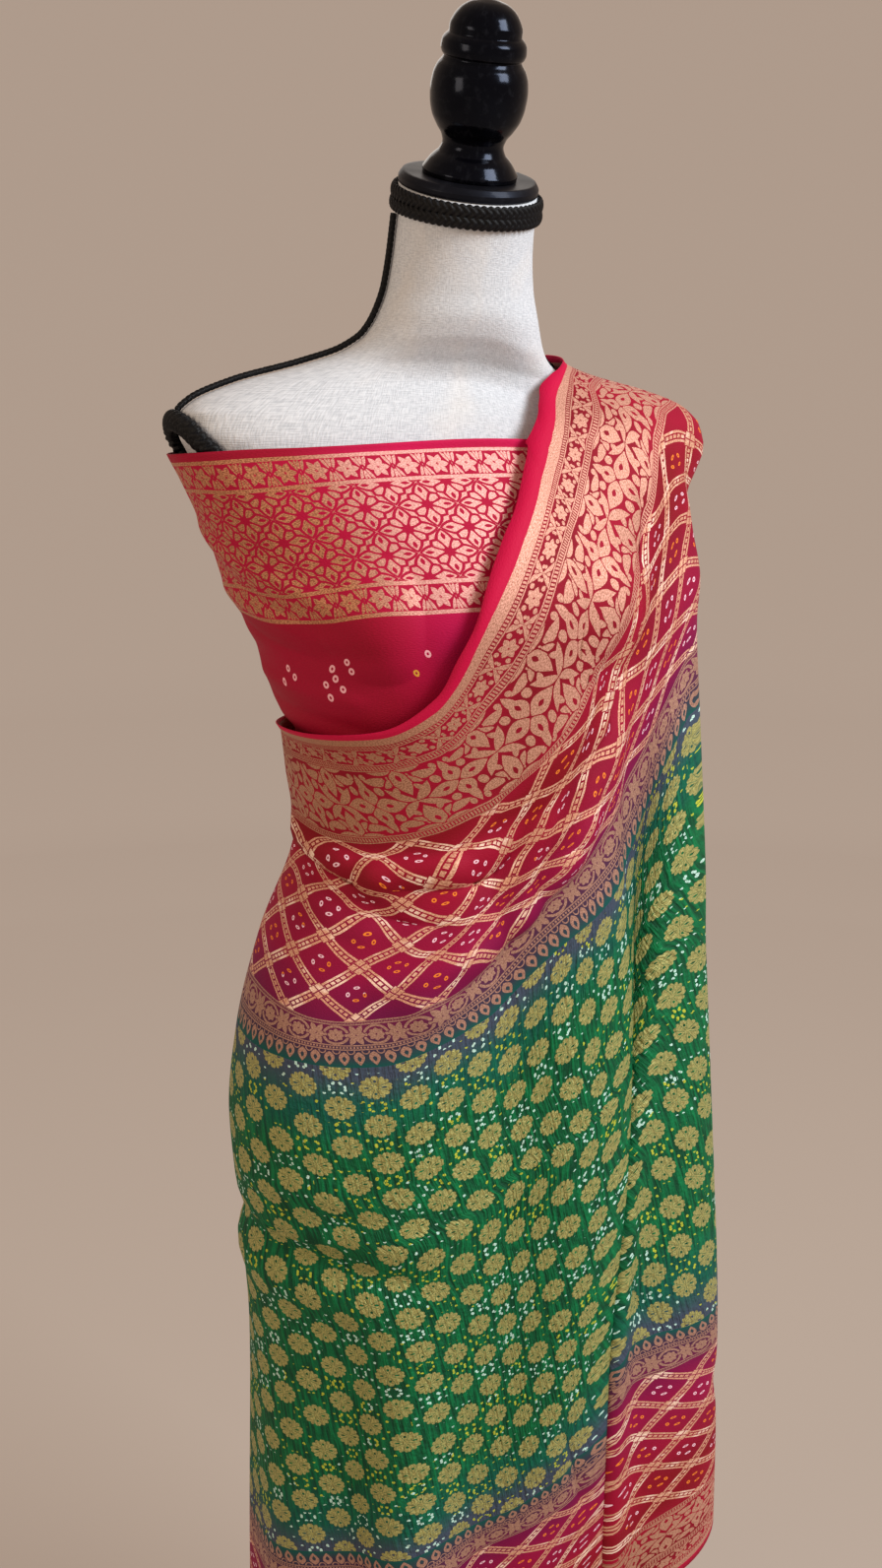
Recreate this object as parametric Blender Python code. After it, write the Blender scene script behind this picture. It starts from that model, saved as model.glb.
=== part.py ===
"""A banarasi sari draped on a dress form.

The form faces -Y and stands on the floor at Z = 0, with its pole on the Z axis. Every round shape
is measured by turn, in degrees about the Z axis (0 at the front, +90 at the form's left, -90 at its
right), and by height. The sari is one sheet: its weft threads run from the top edge to the hem and
its warp threads run round the body, over the left shoulder and on to the back.
"""

import bpy
import numpy as np
from mathutils import Matrix, Vector

# Driving dimensions, in metres
SHEET = 0.002
SARI_CLEAR = 0.0070
FIT = 0.0003
WRAP_SHEET = 0.0015
WRAP_CLEAR = 0.0022
CORD = 0.0055
BRAID = 0.0080
CORD_GAP = 0.0020
CORD_END, CORD_HIDDEN = 1.4070, 1.4510
RIGHT_CORD, LEFT_CORD = (-92.0, -90.0), (112.0, 92.0)
BASE_RADIUS, BASE_THICK = 0.180, 0.018
POLE_RADIUS = 0.016
COLLAR_RADIUS, COLLAR_TALL = 0.034, 0.030
NECK_TOP = 1.568
BAND_TALL, BAND_THICK = 0.018, 0.0040
CAP_RADIUS, CAP_THICK = 0.0522, 0.0090

# The body, a row for each level section from its lower edge to the neck: height, half width, depth
# in front, depth behind, how far its centre is behind the axis, squareness, and the section's slope
BODY = (
    (0.760, 0.166, 0.115, 0.119, 0.000, 2.3, 0.00),
    (0.830, 0.172, 0.119, 0.123, 0.000, 2.3, 0.00),
    (0.900, 0.164, 0.115, 0.117, 0.000, 2.3, 0.00),
    (0.980, 0.143, 0.103, 0.103, 0.000, 2.3, 0.00),
    (1.075, 0.109, 0.087, 0.085, 0.000, 2.3, 0.00),
    (1.160, 0.115, 0.095, 0.091, 0.000, 2.3, 0.00),
    (1.230, 0.141, 0.107, 0.099, 0.000, 2.3, 0.00),
    (1.300, 0.168, 0.107, 0.103, 0.000, 2.4, 0.00),
    (1.350, 0.188, 0.095, 0.104, 0.000, 2.5, 0.00),
    (1.377, 0.202, 0.085, 0.099, 0.000, 2.5, 0.00),
    (1.392, 0.2085, 0.080, 0.095, 0.000, 2.5, 0.00),
    (1.405, 0.2085, 0.075, 0.089, 0.000, 2.4, 0.00),
    (1.414, 0.200, 0.070, 0.083, 0.000, 2.3, 0.00),
    (1.428, 0.166, 0.064, 0.075, 0.002, 2.2, 0.00),
    (1.442, 0.114, 0.059, 0.066, -0.006, 2.0, 0.00),
    (1.452, 0.086, 0.057, 0.061, -0.018, 2.0, 0.00),
    (1.464, 0.071, 0.056, 0.057, -0.030, 2.0, 0.02),
    (1.482, 0.062, 0.055, 0.055, -0.038, 2.0, 0.08),
    (1.500, 0.0565, 0.0535, 0.0535, -0.041, 2.0, 0.14),
    (1.530, 0.0530, 0.0520, 0.0520, -0.047, 2.0, 0.24),
    (1.575, 0.0510, 0.0510, 0.0510, -0.060, 2.0, 0.36),
)
BUST_TURN, BUST_HEIGHT, BUST_RISE = 36.0, 1.255, 0.030
BUST_WIDE, BUST_TALL = 21.0, 0.055
SHOULDER_DROP, DROP_FROM, DROP_FULL = 0.013, 1.30, 1.39
DROP_UNTIL, DROP_GONE = 1.455, 1.505

# The wrap round the chest, a row for each level section in the body's columns: it is stretched
# straight over the body's hollows
WRAP = (
    (1.120, 0.106, 0.103, 0.088, 0.000, 2.2, 0.00),
    (1.150, 0.114, 0.110, 0.092, 0.000, 2.2, 0.00),
    (1.187, 0.136, 0.120, 0.098, 0.000, 2.2, 0.00),
    (1.219, 0.146, 0.127, 0.102, 0.000, 2.2, 0.00),
    (1.255, 0.156, 0.134, 0.105, 0.000, 2.2, 0.00),
    (1.320, 0.178, 0.119, 0.107, 0.000, 2.3, 0.00),
    (1.380, 0.205, 0.089, 0.101, 0.000, 2.4, 0.00),
)
WRAP_LOW, WRAP_HIGH, WRAP_RISE = 1.125, 1.377, 0.011
WRAP_FADE, WRAP_END = 0.06, 1.425

# The right armhole's braid: an upright oval about this turn and height, and the wrap's room for it
ARM_TURN, ARM_HEIGHT, ARM_WIDE, ARM_TALL = -90.0, 1.352, 14.0, 0.049
ARM_ROOM, ARM_ROOM_WIDE, ARM_ROOM_LOW, ARM_ROOM_FULL = 0.0105, 30.0, 1.21, 1.29

# Where the cloth stands off the body: its reach from the axis at each height, a column for each turn
REACH_TURNS = (-180, -135, -90, -45, 0, 45, 70, 90, 110, 135, 180)
REACH = (
    (0.02, 0.136, 0.156, 0.172, 0.140, 0.122, 0.172, 0.258, 0.264, 0.226, 0.169, 0.136),
    (0.40, 0.136, 0.154, 0.168, 0.140, 0.122, 0.170, 0.252, 0.258, 0.221, 0.166, 0.136),
    (0.62, 0.135, 0.154, 0.164, 0.142, 0.126, 0.170, 0.244, 0.250, 0.215, 0.162, 0.135),
    (0.76, 0.134, 0.154, 0.170, 0.148, 0.132, 0.172, 0.234, 0.240, 0.209, 0.159, 0.134),
    (0.93, 0.119, 0.139, 0.152, 0.132, 0.119, 0.164, 0.222, 0.228, 0.199, 0.144, 0.119),
    (1.08, 0.100, 0.106, 0.110, 0.105, 0.106, 0.151, 0.211, 0.218, 0.190, 0.132, 0.106),
    (1.20, 0.102, 0.108, 0.118, 0.114, 0.118, 0.148, 0.202, 0.210, 0.181, 0.130, 0.108),
    (1.32, 0.094, 0.109, 0.144, 0.104, 0.102, 0.140, 0.192, 0.200, 0.171, 0.119, 0.104),
    (1.38, 0.080, 0.100, 0.150, 0.080, 0.070, 0.118, 0.170, 0.185, 0.157, 0.100, 0.080),
    (1.41, 0.040, 0.040, 0.040, 0.040, 0.040, 0.060, 0.090, 0.114, 0.080, 0.060, 0.040),
    (1.45, 0.030, 0.030, 0.030, 0.030, 0.030, 0.030, 0.030, 0.040, 0.030, 0.030, 0.030),
)
BODY_LIFT, BODY_BLEND = 0.0025, 0.006

# The sari's width, and where its borders, lattice and field meet, from the top edge to the hem
SARI_WIDTH = 1.16
SARI_LINES = (0.0, 0.115, 0.285, 0.330, 0.830, 0.875, 1.045, SARI_WIDTH)

# Weft stations, from the inner end behind, round the right side and the front, over the left
# shoulder to the outer end behind: the turn at the chest and at the hem, how far the cloth stands
# out there, in millimetres, and the height of each line in SARI_LINES
STATIONS = (
    (-198, -198, -2, 1.170, 1.090, 0.955, 0.910, 0.440, 0.402, 0.262, 0.160),
    (-178, -178, -2, 1.170, 1.090, 0.955, 0.910, 0.440, 0.402, 0.262, 0.160),
    (-135, -135, 0, 1.161, 1.088, 0.953, 0.908, 0.440, 0.402, 0.262, 0.158),
    (-90, -90, 0, 1.167, 1.087, 0.955, 0.908, 0.444, 0.406, 0.262, 0.158),
    (-60, -60, 0, 1.171, 1.079, 0.946, 0.908, 0.462, 0.424, 0.276, 0.170),
    (-40, -40, 0, 1.177, 1.078, 0.951, 0.910, 0.471, 0.433, 0.288, 0.182),
    (-22, -22, 0, 1.203, 1.086, 0.967, 0.926, 0.486, 0.448, 0.304, 0.198),
    (-5, -8, 0, 1.296, 1.104, 1.002, 0.949, 0.492, 0.462, 0.322, 0.214),
    (12, 6, 0, 1.359, 1.143, 1.030, 0.979, 0.503, 0.477, 0.342, 0.234),
    (26, 16, 0, 1.398, 1.195, 1.062, 1.005, 0.522, 0.490, 0.366, 0.260),
    (38, 26, 0, 1.415, 1.272, 1.096, 1.026, 0.545, 0.505, 0.392, 0.292),
    (52, 36, 0, 1.433, 1.326, 1.137, 1.066, 0.564, 0.524, 0.424, 0.330),
    (64, 44, 0, 1.4410, 1.386, 1.213, 1.168, 0.631, 0.592, 0.437, 0.362),
    (73, 60, 0, 1.4430, 1.400, 1.220, 1.175, 0.630, 0.594, 0.459, 0.390),
    (82, 76, 0, 1.4440, 1.405, 1.226, 1.180, 0.634, 0.596, 0.469, 0.418),
    (90, 90, 0, 1.4445, 1.407, 1.228, 1.182, 0.624, 0.584, 0.462, 0.420),
    (99, 104, 0, 1.4440, 1.402, 1.222, 1.174, 0.604, 0.564, 0.440, 0.396),
    (125, 128, 6, 1.437, 1.328, 1.165, 1.110, 0.572, 0.534, 0.400, 0.336),
    (150, 152, 8, 1.400, 1.215, 1.080, 1.024, 0.534, 0.498, 0.366, 0.276),
    (176, 178, 12, 1.320, 1.124, 1.012, 0.962, 0.500, 0.464, 0.334, 0.242),
    (206, 206, 13, 1.200, 1.088, 0.970, 0.926, 0.480, 0.442, 0.308, 0.212),
)
CHEST, KNEE = 1.20, 0.60
SHOULDER_STATION = 15

# The pleat beside the left hip: where the front panel runs in under the outer one
PLEAT_STATION, PLEAT_WIDE = 11.5, 0.5
PLEAT_TOP, PLEAT_FULL = 1.24, 0.98
PLEAT_LAP, PLEAT_RISE = 5.0, 0.0055

# Folds drawn across the cloth: turn and height at both ends, then width and lift in metres
FOLDS = (
    (64, 1.270, 22, 1.068, 0.016, 0.0060),
    (22, 1.068, -26, 0.966, 0.014, 0.0070),
    (48, 1.205, 4, 1.046, 0.016, -0.0050),
    (-92, 1.078, -46, 1.052, 0.011, 0.0045),
    (-46, 1.052, -18, 1.056, 0.011, 0.0040),
    (-84, 1.054, -38, 1.022, 0.010, -0.0030),
    (-104, 0.748, -36, 0.730, 0.014, -0.0070),
    (-100, 0.712, -50, 0.700, 0.014, 0.0040),
    (24, 0.900, 20, 0.560, 0.022, 0.0060),
    (-30, 0.640, -34, 0.200, 0.030, 0.0070),
    (72, 0.960, 70, 0.400, 0.024, -0.0030),
    (118, 1.100, 124, 0.300, 0.030, -0.0090),
    (148, 1.000, 152, 0.260, 0.030, 0.0080),
    (-140, 0.800, -144, 0.160, 0.030, 0.0080),
)
FOLD_RADIUS = 0.15
HEM_WAVE, HEM_WAVES = 0.006, 9

# The turned knob on the neck, from its foot up: height along its axis, and radius
KNOB = (
    (0.0000, 0.0350), (0.0030, 0.0352), (0.0060, 0.0335), (0.0085, 0.0318), (0.0110, 0.0300),
    (0.0135, 0.0276), (0.0165, 0.0246), (0.0220, 0.0226), (0.0270, 0.0240), (0.0330, 0.0282),
    (0.0410, 0.0326), (0.0500, 0.0348), (0.0580, 0.0354), (0.0670, 0.0345), (0.0740, 0.0320),
    (0.0785, 0.0288), (0.0800, 0.0282), (0.0820, 0.0298), (0.0860, 0.0309), (0.0905, 0.0304),
    (0.0940, 0.0282), (0.0960, 0.0262), (0.1000, 0.0262), (0.1060, 0.0240), (0.1120, 0.0196),
    (0.1165, 0.0128), (0.1185, 0.0060),
)
KNOB_SIDES = 28


def clear_scene():
    for obj in list(bpy.data.objects):
        bpy.data.objects.remove(obj, do_unlink=True)


def finish_of(name, colour, rough, metal=0.0):
    made = bpy.data.materials.new(name)
    made.use_nodes = True
    shader = made.node_tree.nodes["Principled BSDF"]
    shader.inputs["Base Color"].default_value = (*colour, 1.0)
    shader.inputs["Roughness"].default_value = rough
    shader.inputs["Metallic"].default_value = metal
    return made


def through(x, rows):
    """A smooth curve through the rows of a table, the first column against the others.

    Each stretch is a cubic, and the slope at a row is the harmonic mean of the slopes beside it,
    so the curve never swings past its rows.
    """
    table = np.asarray(rows, float)
    at, values = table[:, 0], table[:, 1:]
    step = np.diff(at)[:, None]
    rise = np.diff(values, axis=0) / step
    slope = np.vstack([rise[:1], np.zeros_like(rise[1:]), rise[-1:]])
    product = rise[:-1] * rise[1:]
    total = np.where(product > 0, rise[:-1] + rise[1:], 1.0)
    slope[1:-1] = np.where(product > 0, 2 * product / total, 0.0)
    x = np.clip(np.asarray(x, float), at[0], at[-1])
    i = np.clip(np.searchsorted(at, x) - 1, 0, len(at) - 2)
    t = ((x - at[i]) / np.diff(at)[i])[..., None]
    near = (1 + 2 * t) * (1 - t) ** 2 * values[i] + t * (1 - t) ** 2 * step[i] * slope[i]
    far = t * t * (3 - 2 * t) * values[i + 1] - t * t * (1 - t) * step[i] * slope[i + 1]
    return near + far


def ease(x):
    x = np.clip(x, 0.0, 1.0)
    return x * x * (3 - 2 * x)


def section_reach(turn, height, rows):
    """A lofted shape's distance from its centre: a squared ellipse, at a turn in degrees."""
    turn, height = np.broadcast_arrays(np.asarray(turn, float), np.asarray(height, float))
    half, front, back, centre, square, slope = np.moveaxis(through(height, rows), -1, 0)
    sine, cosine = np.sin(np.radians(turn)), np.cos(np.radians(turn))
    deep = np.where(cosine > 0, front, back)
    radius = (np.abs(sine / half) ** square + np.abs(cosine / deep) ** square) ** (-1 / square)
    return radius, centre, sine, cosine, slope


def shoulder_drop(turn, height):
    """How much lower the left shoulder sits than the right one."""
    rising = ease((height - DROP_FROM) / (DROP_FULL - DROP_FROM))
    falling = ease((DROP_GONE - height) / (DROP_GONE - DROP_UNTIL))
    return SHOULDER_DROP * rising * falling * ease(np.sin(np.radians(turn)))


def body_point(turn, height, stand_off=0.0):
    """The body's surface: its sections, and a soft swell on each side of the chest."""
    radius, centre, sine, cosine, slope = section_reach(turn, height, BODY)
    tall = ((height - BUST_HEIGHT) / BUST_TALL) ** 2
    for side in (-1, 1):
        wide = ((turn - side * BUST_TURN) / BUST_WIDE) ** 2
        radius = radius + BUST_RISE * np.exp(-wide - tall)
    radius = radius + stand_off
    lift = -radius * cosine * slope - shoulder_drop(turn, height)
    return np.stack([radius * sine, centre - radius * cosine, height + lift], -1)


def body_reach(turn, height):
    """The body's own distance from the axis."""
    point = body_point(turn, height + shoulder_drop(turn, height))
    return np.hypot(point[..., 0], point[..., 1])


def wrap_radius(turn, height):
    """The wrap's distance from the axis: its own sections, never inside the body, with room at the arm."""
    radius = section_reach(turn, height, WRAP)[0]
    room = np.exp(-((turn - ARM_TURN) / ARM_ROOM_WIDE) ** 2)
    room = room * ease((height - ARM_ROOM_LOW) / (ARM_ROOM_FULL - ARM_ROOM_LOW))
    return np.maximum(radius, body_reach(turn, height) + WRAP_CLEAR) + ARM_ROOM * room


def cloth_reach(turn, height):
    """How far the cloth is from the axis: the body or the hanging cloth, whichever is further out."""
    around = (turn + 180) % 360 - 180
    body = body_reach(around, np.maximum(height, BODY[0][0]))
    wrap = wrap_radius(around, height) + WRAP_CLEAR + WRAP_SHEET
    covered = ease((WRAP_END - height) / WRAP_FADE) * ease((height - WRAP_LOW) / WRAP_FADE + 1)
    body = body + np.maximum(wrap - body, 0.0) * covered + BODY_LIFT
    body = np.where(height > BODY[0][0] - 0.005, body, 0.0)
    by_turn = through(height, REACH)
    places = np.column_stack([REACH_TURNS, np.eye(len(REACH_TURNS))])
    hang = (by_turn * through(around, places)).sum(-1)
    return 0.5 * (body + hang + np.sqrt((body - hang) ** 2 + BODY_BLEND ** 2))


def fold_lift(turn, height):
    """All the drawn folds: each a soft ridge or trough along a straight line on the unrolled cloth."""
    total = np.zeros_like(turn)
    across = np.radians(turn) * FOLD_RADIUS
    for turn_a, height_a, turn_b, height_b, width, lift in FOLDS:
        start = np.array([np.radians(turn_a) * FOLD_RADIUS, height_a])
        along = np.array([np.radians(turn_b) * FOLD_RADIUS, height_b]) - start
        length = np.hypot(*along)
        run = ((across - start[0]) * along[0] + (height - start[1]) * along[1]) / length
        side = ((across - start[0]) * along[1] - (height - start[1]) * along[0]) / length
        past = np.maximum(np.maximum(-run, run - length), 0.0) / (2 * width)
        total += lift * np.exp(-(side / width) ** 2 - past ** 2)
    return total


def sari_surface(station, across):
    """The sari's middle surface: station is the place along its length, across is from the top edge.

    The height comes from the station's row, the turn from the same row at that height, and the
    distance out from the body and the hanging cloth, with the pleat, the folds and the hem's wave.
    """
    table = np.asarray(STATIONS, float)
    rows = np.column_stack([np.arange(len(table)), table])
    at = through(station, rows)
    chest, knee, lift = at[..., 0], at[..., 1], at[..., 2] / 1000
    places = np.column_stack([SARI_LINES, np.eye(len(SARI_LINES))])
    height = (at[..., 3:] * through(across, places)).sum(-1)
    turn = chest + (knee - chest) * ease((CHEST - height) / (CHEST - KNEE))
    pleat = ease((PLEAT_TOP - height) / (PLEAT_TOP - PLEAT_FULL))
    side = (station - PLEAT_STATION) / PLEAT_WIDE
    swing = np.sqrt(2 * np.e) * side * np.exp(-side ** 2) * pleat
    radius = cloth_reach(turn, height) + lift + fold_lift(turn, height) + PLEAT_RISE * swing
    turn = turn - PLEAT_LAP * swing
    low = ease((BODY[0][0] - height) / (BODY[0][0] - 0.30))
    radius = radius + HEM_WAVE * low * np.sin(np.radians(turn) * HEM_WAVES)
    sine, cosine = np.sin(np.radians(turn)), np.cos(np.radians(turn))
    return np.stack([radius * sine, -radius * cosine, height], -1)


def outward(points):
    """Unit normals of a grid of points, by the cross product of its two directions."""
    normal = np.cross(np.gradient(points, axis=1), np.gradient(points, axis=0))
    return normal / np.linalg.norm(normal, axis=-1, keepdims=True)


def grid_object(name, points, material, wrapped=False, caps=False):
    """A mesh from a grid of points: columns run round the piece, rows run down it."""
    columns, rows = points.shape[:2]
    number = np.arange(columns * rows).reshape(columns, rows)
    here = number if wrapped else number[:-1]
    beside = np.roll(number, -1, axis=0) if wrapped else number[1:]
    quads = np.stack([here[:, :-1], here[:, 1:], beside[:, 1:], beside[:, :-1]], -1).reshape(-1, 4)
    faces = quads.tolist()
    if caps:
        faces += [number[:, 0].tolist(), number[::-1, -1].tolist()]
    mesh = bpy.data.meshes.new(name)
    mesh.from_pydata(points.reshape(-1, 3).tolist(), [], faces)
    mesh.shade_smooth()
    mesh.materials.append(material)
    obj = bpy.data.objects.new(name, mesh)
    bpy.context.collection.objects.link(obj)
    return obj


def thicken(obj, thickness):
    wall = obj.modifiers.new("thickness", "SOLIDIFY")
    wall.thickness = thickness
    wall.offset = 1.0


def turned_object(name, profile, sides, material, place=Matrix()):
    """A turned piece: a ring for each row of the profile about its own Z axis, moved to its place."""
    profile = np.asarray(profile, float)
    angle = np.linspace(0, 2 * np.pi, sides, endpoint=False)
    ring = np.stack([np.cos(angle), np.sin(angle)], -1)
    rings = profile[:, 1][:, None, None] * ring[None]
    level = np.broadcast_to(profile[:, 0][:, None, None], rings.shape[:2] + (1,))
    points = np.concatenate([rings, level], -1)[::-1].transpose(1, 0, 2)
    obj = grid_object(name, points, material, wrapped=True, caps=True)
    obj.matrix_world = place
    return obj


def neck_place(above):
    """The frame of the sloping neck top, this far above it: its Z axis leans forward."""
    rim = body_point(np.array([0.0, 180.0]), np.array([NECK_TOP, NECK_TOP]))
    backward = Vector(rim[1] - rim[0]).normalized()
    side = Vector((1, 0, 0))
    up = side.cross(backward)
    centre = Vector(rim.mean(axis=0)) + up * above
    return Matrix.Translation(centre) @ Matrix((side, backward, up)).transposed().to_4x4()


def make_body(linen):
    turns = np.linspace(-180, 180, 41)[:-1]
    neck = np.linspace(NECK_TOP, 1.472, 6)
    shoulder = np.linspace(1.465, 1.405, 10)
    chest = np.linspace(1.390, BODY[0][0], 17)
    heights = np.concatenate([neck, shoulder, chest])
    points = body_point(turns[:, None], heights[None, :])
    grid_object("form_body", points, linen, wrapped=True, caps=True)


def make_wrap(silk):
    turns = np.linspace(-180, 180, 53)[:-1][:, None]
    share = np.linspace(0, 1, 8)[None, :]
    front = np.maximum(np.cos(np.radians(turns)), 0.0)
    high = WRAP_HIGH + WRAP_RISE * front
    height = high + (WRAP_LOW - high) * share
    turns = turns + 0 * height
    radius = wrap_radius(turns, height)
    sine, cosine = np.sin(np.radians(turns)), np.cos(np.radians(turns))
    points = np.stack([radius * sine, -radius * cosine, height], -1)
    points = points + outward_ring(points) * WRAP_CLEAR
    obj = grid_object("chest_wrap", points, silk, wrapped=True)
    thicken(obj, WRAP_SHEET)


def outward_ring(points):
    """Unit normals of a grid whose columns close into a ring."""
    closed = np.concatenate([points[-1:], points, points[:1]])
    return outward(closed)[1:-1]


def make_sari(silk):
    """The sheet: three columns to a station, and more beside the pleat and behind the shoulder."""
    plain = np.arange(0, PLEAT_STATION - 1, 1 / 3)
    pleat = np.linspace(PLEAT_STATION - 1, PLEAT_STATION + 1, 11)
    side = np.arange(PLEAT_STATION + 1.4, SHOULDER_STATION, 0.4)
    behind = np.linspace(SHOULDER_STATION, SHOULDER_STATION + 3, 16)
    end = np.arange(SHOULDER_STATION + 3.4, len(STATIONS) - 1, 0.4)
    stations = np.concatenate([plain, pleat, side, behind, end, [len(STATIONS) - 1]])[:, None]
    upper = np.linspace(0, 0.62, 17)
    lower = np.linspace(0.70, SARI_WIDTH, 7)
    across = np.concatenate([upper, lower])[None, :]
    points = sari_surface(stations + 0 * across, across + 0 * stations)
    obj = grid_object("sari", points + outward(points) * SARI_CLEAR, silk)
    thicken(obj, SHEET)


def make_cord(name, points, diameter, black, cyclic=False):
    curve = bpy.data.curves.new(name, "CURVE")
    curve.dimensions = "3D"
    line = curve.splines.new("POLY")
    line.points.add(len(points) - 1)
    for knot, point in zip(line.points, points):
        knot.co = (*point, 1.0)
    line.use_cyclic_u = cyclic
    curve.bevel_depth = diameter / 2
    curve.bevel_resolution = 2
    curve.use_fill_caps = not cyclic
    curve.materials.append(black)
    obj = bpy.data.objects.new(name, curve)
    bpy.context.collection.objects.link(obj)


def beside_body(turn, height, stand_off):
    """Points off the body's surface, along its normal there."""
    small_turn, small_height = 1.0, 0.002
    here = body_point(turn, height)
    round_it = body_point(turn + small_turn, height) - body_point(turn - small_turn, height)
    up_it = body_point(turn, height + small_height) - body_point(turn, height - small_height)
    normal = np.cross(round_it, up_it)
    return here + normal / np.linalg.norm(normal, axis=-1, keepdims=True) * stand_off


def make_trim(black):
    """The black trims: a band round the neck, a cord down each side and a braid round the right arm."""
    turns = np.linspace(-180, 180, 41)[:-1][:, None]
    heights = np.linspace(NECK_TOP - FIT, NECK_TOP - BAND_TALL, 3)[None, :]
    band = grid_object("neck_band", body_point(turns, heights, 2 * FIT), black, wrapped=True)
    thicken(band, BAND_THICK)
    start = NECK_TOP - BAND_TALL - CORD
    for name, side, end, count in (("right_cord", RIGHT_CORD, CORD_END, 26), ("left_cord", LEFT_CORD, CORD_HIDDEN, 18)):
        heights = np.linspace(start, end, count)
        points = beside_body(np.linspace(*side, count), heights, CORD / 2 + CORD_GAP)
        make_cord(name, points, CORD, black)
    angle = np.linspace(0, 2 * np.pi, 33)[:-1]
    turns = ARM_TURN + ARM_WIDE * np.cos(angle)
    points = beside_body(turns, ARM_HEIGHT + ARM_TALL * np.sin(angle), BRAID / 2 + CORD_GAP)
    make_cord("arm_braid", points, BRAID, black, cyclic=True)


def make_stand(black):
    """The knob and its cap on the neck, and the pole with its collar and round base under the body."""
    cap = ((0.0, CAP_RADIUS - 0.001), (0.002, CAP_RADIUS), (0.005, CAP_RADIUS), (CAP_THICK, CAP_RADIUS - 0.0025))
    turned_object("neck_cap", cap, KNOB_SIDES, black, neck_place(2 * FIT))
    turned_object("knob", KNOB, KNOB_SIDES, black, neck_place(CAP_THICK + 3 * FIT))
    top = BODY[0][0] - FIT
    collar = ((top - COLLAR_TALL, COLLAR_RADIUS - 0.006), (top - 0.6 * COLLAR_TALL, COLLAR_RADIUS - 0.002),
              (top - 0.3 * COLLAR_TALL, COLLAR_RADIUS), (top, COLLAR_RADIUS))
    turned_object("collar", collar, 24, black)
    pole = ((BASE_THICK + FIT, POLE_RADIUS), (top - COLLAR_TALL - FIT, POLE_RADIUS))
    turned_object("pole", pole, 20, black)
    base = ((0.0, BASE_RADIUS - 0.002), (0.002, BASE_RADIUS), (0.010, BASE_RADIUS), (0.015, BASE_RADIUS - 0.006),
            (BASE_THICK, BASE_RADIUS - 0.020))
    turned_object("base", base, 40, black)


def stand_on_origin():
    """One empty at the origin on the floor carries every piece."""
    origin = bpy.data.objects.new("dress_form", None)
    bpy.context.collection.objects.link(origin)
    for obj in bpy.data.objects:
        if obj != origin:
            obj.parent = origin


def main():
    clear_scene()
    linen = finish_of("linen", (0.74, 0.68, 0.63), 0.9)
    crimson = finish_of("crimson silk", (0.55, 0.0, 0.06), 0.5)
    green = finish_of("green silk", (0.0, 0.16, 0.07), 0.5)
    trim = finish_of("black braid", (0.01, 0.01, 0.012), 0.7)
    lacquer = finish_of("black lacquer", (0.008, 0.008, 0.010), 0.15)
    make_body(linen)
    make_wrap(crimson)
    make_sari(green)
    make_trim(trim)
    make_stand(lacquer)
    stand_on_origin()


main()
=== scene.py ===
# %% [markdown]
# # A banarasi sari on a dress form
#
# A banarasi sari is one long silk cloth, woven with gold thread along its two edges. Here it goes
# round a dress form from behind, across the front and over the left shoulder, above a gold-banded
# wrap that covers the chest. The solids fix every size, and this lesson gives them their looks:
# finer surfaces of the same shape, and finishes drawn thread by thread with shader nodes.
#
# Lengths are in metres, with Z up. The form faces -Y. A place round the body is its turn in degrees,
# 0 at the front and +90 at the form's left, and its height above the floor.

import bpy
import numpy as np
from mathutils import Matrix, Vector


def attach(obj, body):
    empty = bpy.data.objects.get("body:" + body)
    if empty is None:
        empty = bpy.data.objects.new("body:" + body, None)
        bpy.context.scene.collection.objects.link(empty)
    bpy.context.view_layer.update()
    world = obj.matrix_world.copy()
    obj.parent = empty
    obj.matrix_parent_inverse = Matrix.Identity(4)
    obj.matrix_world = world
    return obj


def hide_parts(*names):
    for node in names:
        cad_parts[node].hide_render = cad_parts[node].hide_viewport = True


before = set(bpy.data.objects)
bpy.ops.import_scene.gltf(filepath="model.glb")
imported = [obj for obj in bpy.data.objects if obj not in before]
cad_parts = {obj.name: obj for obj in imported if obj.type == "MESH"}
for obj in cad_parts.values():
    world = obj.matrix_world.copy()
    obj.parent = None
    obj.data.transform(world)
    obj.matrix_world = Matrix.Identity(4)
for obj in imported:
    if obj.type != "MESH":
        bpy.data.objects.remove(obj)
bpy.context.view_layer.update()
print("solids:", sorted(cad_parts))

# %% [markdown]
# ## The camera
#
# The photograph looks at the form from its right, a little above the chest. A camera is best placed
# first, because the size of a pixel tells how fine the detail has to be: about 0.7 mm on the chest.

# %% Place the camera
VIEW_TURN, VIEW_DOWN = np.radians(-20.0), np.radians(13.1)
VIEW_AWAY, VIEW_HIGH = 1.36, 1.42
IMAGE_TALL, FOCAL_PIXELS = 1592, 1700

camera = bpy.data.objects.new("camera", bpy.data.cameras.new("camera"))
camera.data.sensor_width = 36.0
camera.data.lens = camera.data.sensor_width * FOCAL_PIXELS / IMAGE_TALL
camera.location = (np.sin(VIEW_TURN) * VIEW_AWAY, -np.cos(VIEW_TURN) * VIEW_AWAY, VIEW_HIGH)
camera.rotation_euler = (np.pi / 2 - VIEW_DOWN, 0.0, VIEW_TURN)
bpy.context.collection.objects.link(camera)
bpy.context.scene.camera = camera
print(f"lens {camera.data.lens:.1f} mm")

# %% [markdown]
# ## Surfaces from grids
#
# Cloth, turned wood and braid are all sheets or tubes, so one function can make them: it takes a grid
# of points, with columns that go round the piece and rows that go down it, and joins neighbours with
# four-sided faces. The grid may close into a ring. A second grid gives each point's place on the flat
# cloth, in metres, and is kept as a UV map for the patterns.

# %% Make a mesh from a grid
CLOTH_MAP = "flat cloth"


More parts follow.
